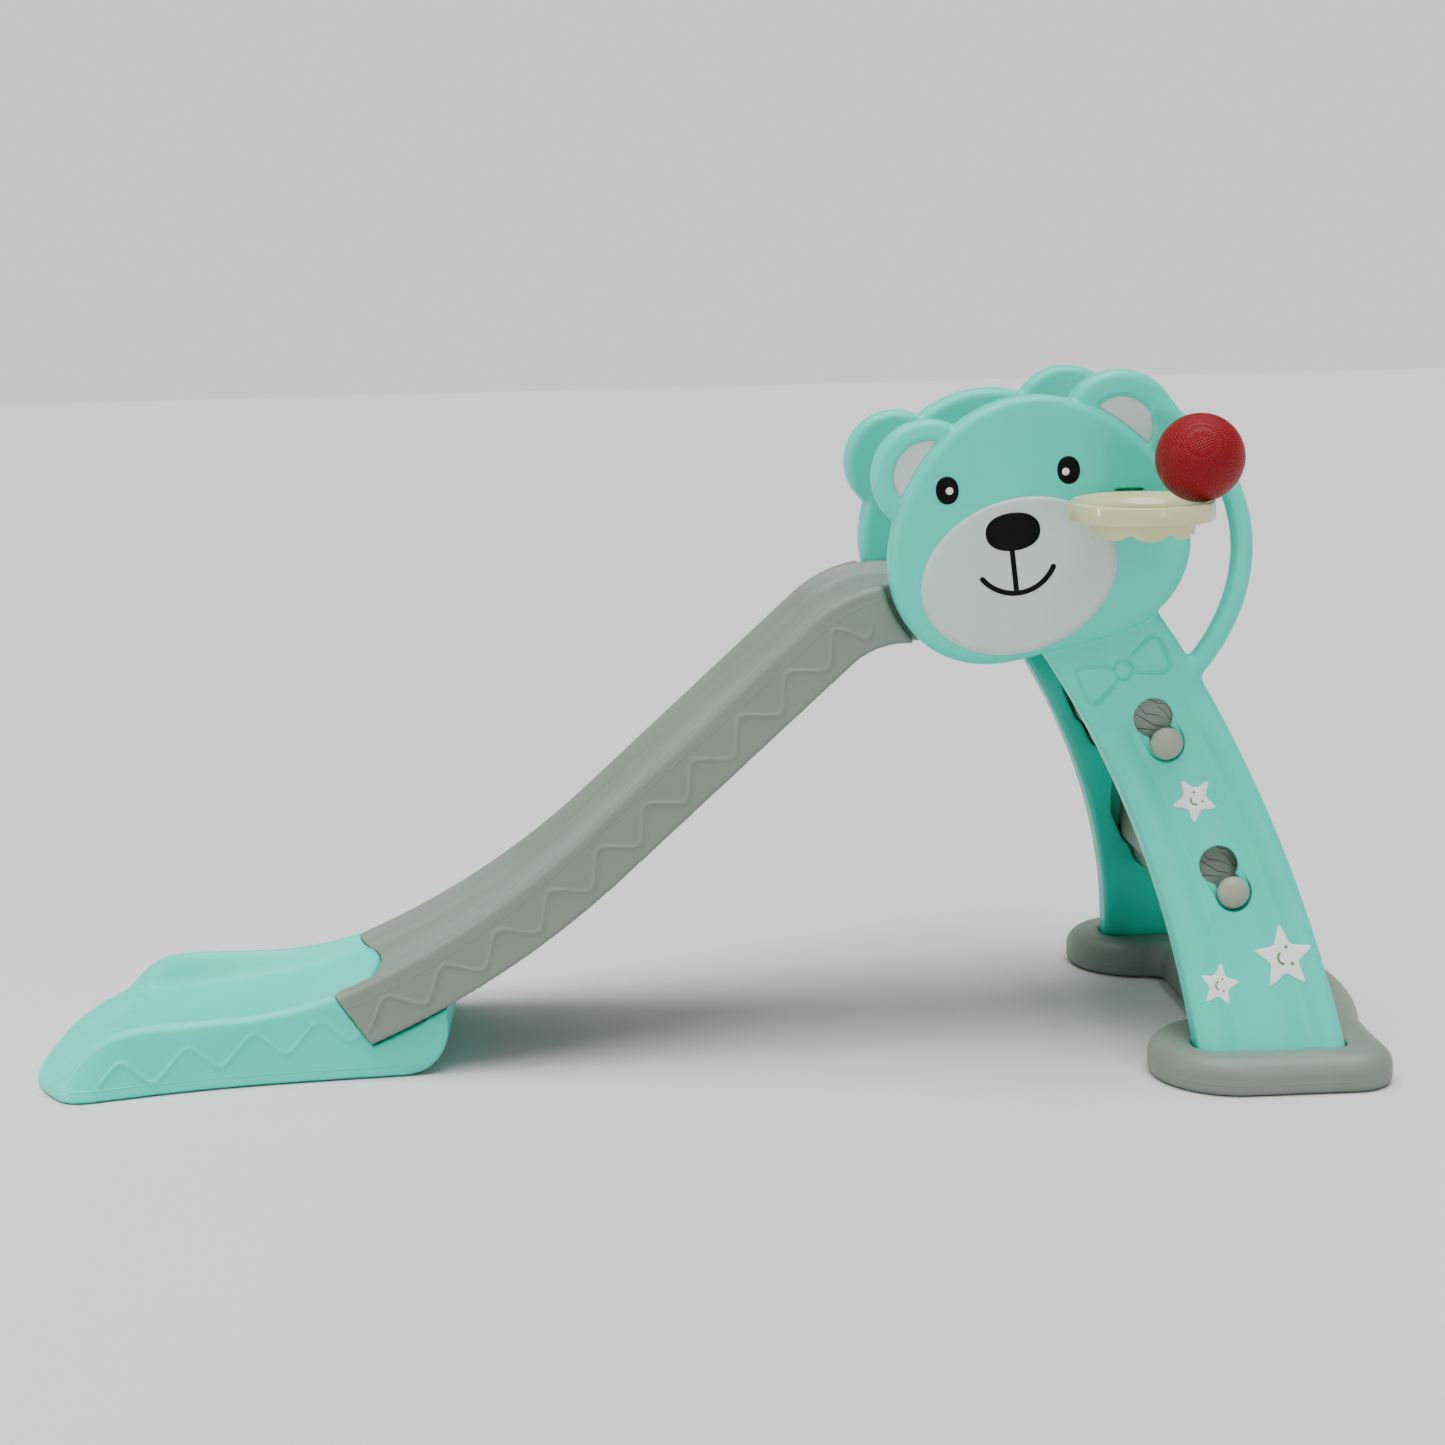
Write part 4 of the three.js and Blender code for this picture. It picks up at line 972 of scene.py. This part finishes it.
CRACKS = [
    [(-20, 14), (-14, 12), (-8, 4), (4, 2), (18, -4)],
    [(-25, 3), (-18, 4), (-9, -2), (2, -9), (9, -10), (20, -14)],
    [(-9, 20), (-2, 19), (6, 15), (14, 14)],
    [(-25, -10), (-20, -12), (-8, -13), (6, -15)],
    [(4, 12), (12, 7), (19, -3), (26, -5)],
]


def crack_parts(knob, side):
    """Dark strips on a step's end, seen through the entry hole: painted shade in its moulded grain lines."""
    parts = []
    hole = up_slot(knob, KEYHOLE["travel"])
    for line in CRACKS:
        fine = np.array(line, float)
        count = np.linspace(0, len(fine) - 1, 26)
        x = np.interp(count, range(len(fine)), fine[:, 0]) + hole[0]
        z = np.interp(count, range(len(fine)), fine[:, 1]) + hole[1]
        width = 0.7 * np.sin(np.linspace(0.25, math.pi - 0.12, 26))
        rows = []
        for share in (-1.0, 1.0):
            rows.append(np.stack([x, side * (step_end(knob, z) + 0.15), z + share * width], 1))
        faces = [[j, j + 1, 27 + j, 26 + j] for j in range(25)]
        parts.append((np.concatenate(rows), faces if side == NEAR else [f[::-1] for f in faces]))
    return parts


for step_name, step_knob in KNOBS.items():
    reach = float(step_end(step_knob, 0.0)) + 6.0
    lows = (step_knob[0] - 52.0, -reach, step_knob[1] - 68.0)
    highs = (step_knob[0] + 52.0, reach, step_knob[1] + 60.0)
    bar = moulded(step_name + "_moulding", step_field(step_knob), lows, highs, 3.6, grey,
                  None, lambda x, y, z, k=step_knob: x - k[0] - 1.0)
    install(bar, step_name, step_name)
    knobs = add_mesh(step_name + "_knobs", *joined(knob_parts(step_name)), None, [knob_grey])
    install(knobs, step_name)
    # Painted shade of the grain lines, on both ends of the step.
    lines = crack_parts(step_knob, NEAR) + crack_parts(step_knob, FAR)
    cracks = add_mesh(step_name + "_painted_grain_shade", *joined(lines), None, [groove_shade_paint])
    install(cracks, step_name)


# ---- upper chute ------------------------------------------------------------------------------
STEEP, EXIT, END_LEAN = RUN["slope"], RUN["exit"], RUN["lean"]
TOP_Z = DECK["crest"] - RUN["top_r"]
BREAK_X = RUN["top_x"] - RUN["top_r"] * math.sin(STEEP)
BREAK_Z = DECK["crest"] - RUN["top_r"] * (1.0 - math.cos(STEEP))
STRAIGHT = (BREAK_X - RUN["foot_x"]) / math.cos(STEEP)
FOOT_Z = BREAK_Z - (BREAK_X - RUN["foot_x"]) * math.tan(STEEP)
FOOT_R = (RUN["foot_x"] - END["joint"]) / (math.sin(STEEP) - math.sin(EXIT))
FOOT_CX = RUN["foot_x"] - FOOT_R * math.sin(STEEP)
FOOT_CZ = FOOT_Z + FOOT_R * math.cos(STEEP)
JOINT_Z = FOOT_CZ - FOOT_R * math.cos(EXIT)


def along_chute(x, z):
    """Distance along the wall's crest line, counted down the slope, and height above it."""
    bend = np.arctan2(RUN["top_x"] - x, z - TOP_Z)
    straight = (BREAK_X - x) * math.cos(STEEP) + (BREAK_Z - z) * math.sin(STEEP)
    slope = np.arctan2(x - FOOT_CX, FOOT_CZ - z)
    start = RUN["top_r"] * STEEP
    along = np.where(straight < STRAIGHT, start + straight, start + STRAIGHT + FOOT_R * (STEEP - slope))
    height = (BREAK_X - x) * math.sin(STEEP) + (z - BREAK_Z) * math.cos(STEEP)
    height = np.where(straight < STRAIGHT, height, FOOT_R - np.hypot(x - FOOT_CX, z - FOOT_CZ))
    arc = bend < STEEP
    along = np.where(arc, RUN["top_r"] * bend, along)
    height = np.where(arc, np.hypot(x - RUN["top_x"], z - TOP_Z) - RUN["top_r"], height)
    deck = x > RUN["top_x"]
    along = np.where(deck, RUN["top_x"] - x, along)
    return along, np.where(deck, z - DECK["crest"], height)


def past_joint(x, side, z):
    """Distance beyond the joint face, which bows up the slope in the middle of the sliding surface."""
    bow = 32.0 * (1.0 - (np.minimum(side, 116.0) / 116.0) ** 2)
    return (END["joint"] + bow - x) * math.cos(END_LEAN) + (JOINT_Z - z) * math.sin(END_LEAN)


WAVE = {"period": 69.6, "phase": 26.3, "mid": -37.0, "swing": 13.0, "height": 1.7, "width": 2.4}


def zigzag(turns):
    """A wave between -1 and 1 with straight flanks and round tips."""
    return np.arcsin(0.82 * np.cos(2.0 * math.pi * turns)) / math.asin(0.82)


def bead(offset, slope):
    """Height of a moulded line with a slight step across it."""
    distance = offset / np.sqrt(1.0 + slope**2)
    return WAVE["height"] * np.exp(-((distance / WAVE["width"]) ** 2)) + 0.5 * smoothstep(-2.0, 2.0, distance)


def chute_wave(along, height):
    """The moulded zigzag line along the wall's outer side."""
    turns = (along - WAVE["phase"]) / WAVE["period"]
    offset = height - (WAVE["mid"] + WAVE["swing"] * zigzag(turns))
    slope = 4.0 * WAVE["swing"] / WAVE["period"]
    last = STRAIGHT + RUN["top_r"] * STEEP + FOOT_R * (STEEP - EXIT)
    span = smoothstep(40.0, 56.0, along) * smoothstep(last - 14.0, last - 24.0, along)
    return bead(offset, slope) * span


def chute_field(x, y, z):
    """Walls and floor along the slope, open underneath, with the deck narrowed between the heads."""
    along, height = along_chute(x, z)
    side = np.abs(y)
    lean = (WALL["foot"] - WALL["crest"]) / WALL["height"]
    outer = side - (WALL["crest"] - lean * height + chute_wave(along, height))
    rise, steep = swell(side - WALL["floor"] + 2.0, WALL["foot_width"], WALL["drop"])
    top = (height + WALL["drop"] - rise) / np.sqrt(1.0 + steep**2)
    body = corner(outer, top, 8.5)
    body = corner(body, -WALL["height"] - height, 4.0)
    below = -WALL["drop"] - UNDER["thick"]
    under = np.maximum(side - UNDER["half"] - 8.0 * (below - height) / 30.0, height - below)
    body = cut(body, under, 5.0)
    body = corner(body, past_joint(x, side, z), 2.5)
    body = corner(body, x - DECK["back"], 12.0)
    head = np.minimum(head_edge(x, z) - DECK["clear"], 300.0 - x)
    body = cut(body, np.maximum(head, DECK["half"] - side), 6.0)
    return cut(body, circle(x, z, PIVOT["x"], PIVOT["z"], PIVOT["r"] + PIVOT["play"]), 1.0)


def chute_detail(x, y, z):
    along, height = along_chute(x, z)
    wall = (np.abs(y) > 136.0) & (height < -18.0) & (height > -56.0)
    rim = (np.abs(head_edge(x, z) - DECK["clear"]) < 8.0) & (np.abs(y) > 118.0)
    crest = (np.abs(y) > 124.0) & (height > -14.0)
    return wall | rim | (past_joint(x, np.abs(y), z) > -7.0) | crest


def chute_seam(x, y, z):
    along, height = along_chute(x, z)
    return height + 15.0 + 3.0 * np.sin(along / 90.0)


chute = moulded("upper_chute_moulding", chute_field, (-440.0, -156.0, 20.0), (452.0, 156.0, 536.0),
                4.5, grey, chute_detail, chute_seam)
install(chute, "chute", "upper_chute")


# ---- chute end --------------------------------------------------------------------------------
# Stations along the chute end: x, crest, floor, and half widths at the crest, the floor and the ground.
END_STATIONS = [
    (-303, 150, 133, 138, 104, 134), (-343, 131, 114, 138, 104, 136), (-400, 106, 89, 138, 104, 141),
    (-425, 95, 77, 138, 104, 143), (-465, 84, 64, 140, 107, 147), (-510, 77, 54, 144, 110, 152),
    (-560, 75, 47, 149, 114, 160), (-620, 74, 40, 155, 121, 174), (-650, 71, 36, 160, 127, 183),
    (-666, 67, 34, 163, 131, 187), (-680, 59, 33, 166, 134, 192), (-697, 44, 31, 170, 138, 195),
    (-710, 28, 26, 172, 138, 196), (-722, 21, 23, 172, 138, 196), (-735, 18, 19, 172, 138, 196),
    (-775, 9, 9, 172, 138, 196),
]


def eased_columns():
    """The stations as smooth curves, sampled every 2 mm and eased over about 15 mm."""
    rows = np.array(END_STATIONS, float)[::-1]
    x = np.arange(-840.0, -220.0, 2.0)
    kernel = np.exp(-((np.arange(-18, 19) * 2.0 / 6.0) ** 2) / 2.0)
    kernel /= kernel.sum()
    columns = [np.convolve(np.interp(x, rows[:, 0], rows[:, k]), kernel, "same") for k in range(1, 6)]
    return x[20:-20], [c[20:-20] for c in columns]


END_X, END_COLUMNS = eased_columns()
LIP = {"sweep": 57.0, "half": 190.0, "power": 3.2}
END_WAVE = {"period": 70.0, "start": -582.5, "mid": 37.0, "climb": 0.14, "swing": 13.5}


def end_wave(x, z):
    """The same zigzag line on the chute end."""
    turns = (x - END_WAVE["start"]) / END_WAVE["period"]
    middle = END_WAVE["mid"] + END_WAVE["climb"] * (x + 560.0)
    offset = z - (middle + END_WAVE["swing"] * zigzag(turns))
    slope = 4.0 * END_WAVE["swing"] / END_WAVE["period"]
    return bead(offset, slope) * smoothstep(-682.0, -668.0, x)


def chute_end_field(x, y, z):
    """The chute end from its stations, with its lip, heel, grips, screw wells and room for the chute."""
    crest, floor, crest_half, floor_half, ground_half = [np.interp(x, END_X, c) for c in END_COLUMNS]
    side = np.abs(y)
    rise, steep = swell(side - floor_half + 2.0, crest_half - 8.0 - floor_half + 2.0, crest - floor)
    grip = np.zeros_like(side + x)
    for row in (20.0, 60.0, 100.0, 135.0):
        grip = np.maximum(grip, smoothstep(7.0, 3.0, np.abs(side - row)))
    grip = grip * smoothstep(-742.0, -734.0, x) * smoothstep(-672.0, -682.0, x) * 1.3
    top = (z - floor - rise - grip) / np.sqrt(1.0 + steep**2)
    share = np.clip(z / np.maximum(crest, 10.0), 0.0, 1.0)
    wall = side - (ground_half + (crest_half - ground_half) * share + end_wave(x, z))
    body = corner(wall * 0.97, top, 10.0)
    plan = np.minimum(side, 230.0) / LIP["half"]
    turn = LIP["sweep"] * LIP["power"] / LIP["half"] * plan ** (LIP["power"] - 1.0)
    lip = (END["lip"] + LIP["sweep"] * plan ** LIP["power"] - x) / np.sqrt(1.0 + turn**2)
    body = corner(body, lip, 11.0)
    body = corner(body, corner(x - END["heel"], -z, 52.0), 4.0)
    body = corner(body, -z, 5.0)
    _, height = along_chute(x, z)
    room = np.maximum(-WALL["height"] - END["shadow_gap"] - height, past_joint(x, side, z) - END["recess"])
    body = cut(body, room, 3.0)
    for screw_y in (-118.0, 118.0):
        well = np.maximum(np.hypot(x + 345.0, y - screw_y) - 9.0, z - 38.0)
        body = cut(body, well, 1.0)
    return body


def chute_end_detail(x, y, z):
    side = np.abs(y)
    _, _, _, _, ground_half = [np.interp(x, END_X, c) for c in END_COLUMNS]
    wall = (side > ground_half - 26.0) & (z > 14.0) & (z < 64.0) & (x < -385.0)
    grips = (x > -748.0) & (x < -666.0) & (z > 18.0) & (side < 150.0)
    return wall | (np.abs(past_joint(x, side, z)) < 6.0) | grips


chute_end = moulded("chute_end_moulding", chute_end_field, (-775.0, -205.0, -6.0), (-292.0, 205.0, 110.0),
                    4.2, mint, chute_end_detail, lambda x, y, z: z - 13.0)
install(chute_end, "chute", "chute_end")


# ---- hoop -------------------------------------------------------------------------------------
# Rings of the hoop as (radius, height, share of the scallops), from inside its funnel over the rim and down.
HOOP_RINGS = [
    (54.0, -13.5, 0), (54.9, -11.8, 0), (56.6, -9.6, 0), (59.2, -7.2, 0), (62.6, -5.0, 0), (66.0, -3.0, 0),
    (69.0, -1.2, 0), (70.2, -0.4, 0), (71.4, 0.0, 0), (72.5, -0.4, 0), (73.2, -1.2, 0), (73.5, -2.4, 0),
    (73.5, -18.6, 0), (73.2, -19.2, 0), (72.6, -19.5, 0), (70.9, -19.5, 0), (70.5, -19.2, 0),
    (70.4, -12.0, 0),
    (69.6, -11.0, 0), (61.0, -9.6, 0), (58.2, -11.0, 0), (56.2, -13.5, 0), (55.4, -17.0, 0),
    (52.9, -34.0, 0.8), (52.4, -36.4, 1), (51.7, -37.4, 1), (50.8, -37.2, 1), (50.3, -36.0, 1),
    (50.2, -33.0, 0.8), (53.4, -17.0, 0),
]


def droop(points):
    """The hoop hangs outwards a little from its tongue."""
    turn = math.radians(HOOP["droop"])
    points = np.array(points, float)
    y, z = points[:, 1] + PANEL["outer"], points[:, 2] - HOOP["z"]
    points[:, 1] = y * math.cos(turn) - z * math.sin(turn) - PANEL["outer"]
    points[:, 2] = y * math.sin(turn) + z * math.cos(turn) + HOOP["z"]
    return points


def hoop():
    """The ring with its funnel inside and its scalloped skirt below."""
    segments = 240
    angles = np.linspace(0.0, 2.0 * math.pi, segments, endpoint=False)
    notch = math.radians(-115.0)
    scallop = HOOP["scallop"] * np.exp(-((np.sin(4.0 * (angles - notch)) / 0.62) ** 2))
    points = []
    for r, h, share in HOOP_RINGS:
        points.append(np.stack([HOOP["x"] + r * np.cos(angles), HOOP["y"] + r * np.sin(angles),
                                HOOP["z"] + h + share * scallop], 1))
    return droop(np.concatenate(points)), ring_faces(len(HOOP_RINGS), segments, True)


def tongue():
    """The flat tongue that joins the ring to the panel, a bar with eased edges along Y."""
    ease = 1.2
    half, low_z, high_z = TONGUE["width"] / 2, HOOP["z"] - TONGUE["low"], HOOP["z"] - TONGUE["high"]
    start, end = HOOP["y"] + HOOP["r"] - 3.0, -(PANEL["outer"] - TONGUE["depth"])
    section = []
    for turn, x, z in ((0, 1, 1), (90, -1, 1), (180, -1, -1), (270, 1, -1)):
        for step in range(5):
            a = math.radians(turn + step * 22.5)
            middle_x, middle_z = TONGUE["x"] + x * (half - ease), high_z - ease if z > 0 else low_z + ease
            section.append((middle_x + ease * math.cos(a), middle_z + ease * math.sin(a)))
    points = [(x, y, z) for y in (start, end) for x, z in section]
    count = len(section)
    faces = [[j, j + count, (j + 1) % count + count, (j + 1) % count] for j in range(count)]
    faces += [list(range(count)), list(range(2 * count - 1, count - 1, -1))]
    return droop(points), faces


install(add_mesh("hoop_ring", *hoop(), None, [cream]), "hoop", "hoop")
install(add_mesh("hoop_tongue", *tongue(), None, [cream]), "hoop")


# ---- ball -------------------------------------------------------------------------------------
def make_ball():
    """The ball, with a socket for its valve at the side towards the panel."""
    r, socket, floor = BALL["r"], BALL["socket"], BALL["r"] - BALL["deep"]
    end = math.asin((socket + 0.5) / r)
    profile = [(r * math.sin(a), -r * math.cos(a)) for a in np.linspace(0.0, math.pi - end, 97)]
    profile += [(socket + 0.1, r * math.cos(end) - 0.1), (socket, r * math.cos(end) - 0.5), (socket, floor)]
    profile += [(0.01, floor)]
    points, faces = lathe([(max(radius, 0.01), h) for radius, h in profile], 192)
    turned = np.stack([points[:, 0], points[:, 2], -points[:, 1]], 1)
    centre = np.array([BALL["x"], BALL["y"], BALL["z"]])
    piece = add_mesh("ball_skin", turned + centre, faces, None, [red_vinyl])
    install(piece, "ball", "ball")


make_ball()


# ---- kept pieces of the frame -----------------------------------------------------------------
def finish_kept(name, material):
    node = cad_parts[name]
    node.data.materials.clear()
    node.data.materials.append(material)


for kept in ("pivot_tube", "deck_rest_tube"):
    finish_kept(kept, steel)
for kept in ("chute_end_screw_1", "chute_end_screw_2"):
    finish_kept(kept, steel)
finish_kept("ball_valve", rubber)


# ---- floor and light --------------------------------------------------------------------------
def make_floor():
    shader = Shader("pale_floor")
    shade = shader.noise(1.5, 2.0)
    shader.link(shader.mix(shade, (0.62, 0.62, 0.62), (0.66, 0.66, 0.66)), "Base Color")
    shader.set(Roughness=0.85)
    mesh = bpy.data.meshes.new("floor")
    size = 30.0
    corners = [(-size, -size, 0), (size, -size, 0), (size, size, 0), (-size, size, 0)]
    mesh.from_pydata(corners, [], [[0, 1, 2, 3]])
    mesh.materials.append(shader.material)
    floor = bpy.data.objects.new("floor", mesh)
    bpy.context.scene.collection.objects.link(floor)


def add_light(data, azimuth, elevation, distance=0.0, height=0.0):
    """Puts a light in the scene, aimed inwards; azimuth 0 is in front of the hoop side, towards +X."""
    a, e = math.radians(azimuth), math.radians(elevation)
    away = Vector((math.sin(a) * math.cos(e), -math.cos(a) * math.cos(e), math.sin(e)))
    light = bpy.data.objects.new(data.name, data)
    light.location = away * distance + Vector((0.1, 0.0, height))
    light.rotation_mode = "QUATERNION"
    light.rotation_quaternion = (-away).to_track_quat("-Z", "Y")
    light.visible_camera = False
    bpy.context.scene.collection.objects.link(light)


def make_light(name, azimuth, distance, low, high, width, power):
    """An upright light strip."""
    data = bpy.data.lights.new(name, "AREA")
    data.shape = "RECTANGLE"
    data.size, data.size_y = width, high - low
    data.energy = power
    add_light(data, azimuth, 0.0, distance, (low + high) / 2)


def make_sun(azimuth, elevation, softness, power):
    """Even light from a wide source overhead."""
    data = bpy.data.lights.new("ceiling", "SUN")
    data.angle = math.radians(softness)
    data.energy = power
    add_light(data, azimuth, elevation)


def make_world():
    """A studio with a bright ceiling, dim walls and a pale strip at the height of the floor's far edge."""
    world = bpy.data.worlds.new("studio")
    world.use_nodes = True
    tree = world.node_tree
    place = tree.nodes.new("ShaderNodeTexCoord").outputs["Generated"]
    split = tree.nodes.new("ShaderNodeSeparateXYZ")
    tree.links.new(place, split.inputs[0])
    ramp = tree.nodes.new("ShaderNodeValToRGB")
    tree.links.new(split.outputs["Z"], ramp.inputs[0])
    stops = [(0.0, 1.0), (0.17, 1.0), (0.24, 0.16), (0.6, 0.22), (0.85, 1.1), (1.0, 1.1)]
    while len(ramp.color_ramp.elements) < len(stops):
        ramp.color_ramp.elements.new(0.5)
    for element, (height, level) in zip(ramp.color_ramp.elements, stops):
        element.position = height
        element.color = (level, level, level, 1.0)
    tree.links.new(ramp.outputs["Color"], tree.nodes["Background"].inputs["Color"])
    tree.nodes["Background"].inputs["Strength"].default_value = 1.0
    bpy.context.scene.world = world


make_floor()
make_world()
make_light("left_strip", -78.0, 2.6, 0.1, 2.1, 0.16, 22.0)
make_light("right_strip", 24.0, 3.1, 0.1, 2.3, 0.18, 11.0)
make_sun(-20.0, 80.0, 50.0, 3.7)
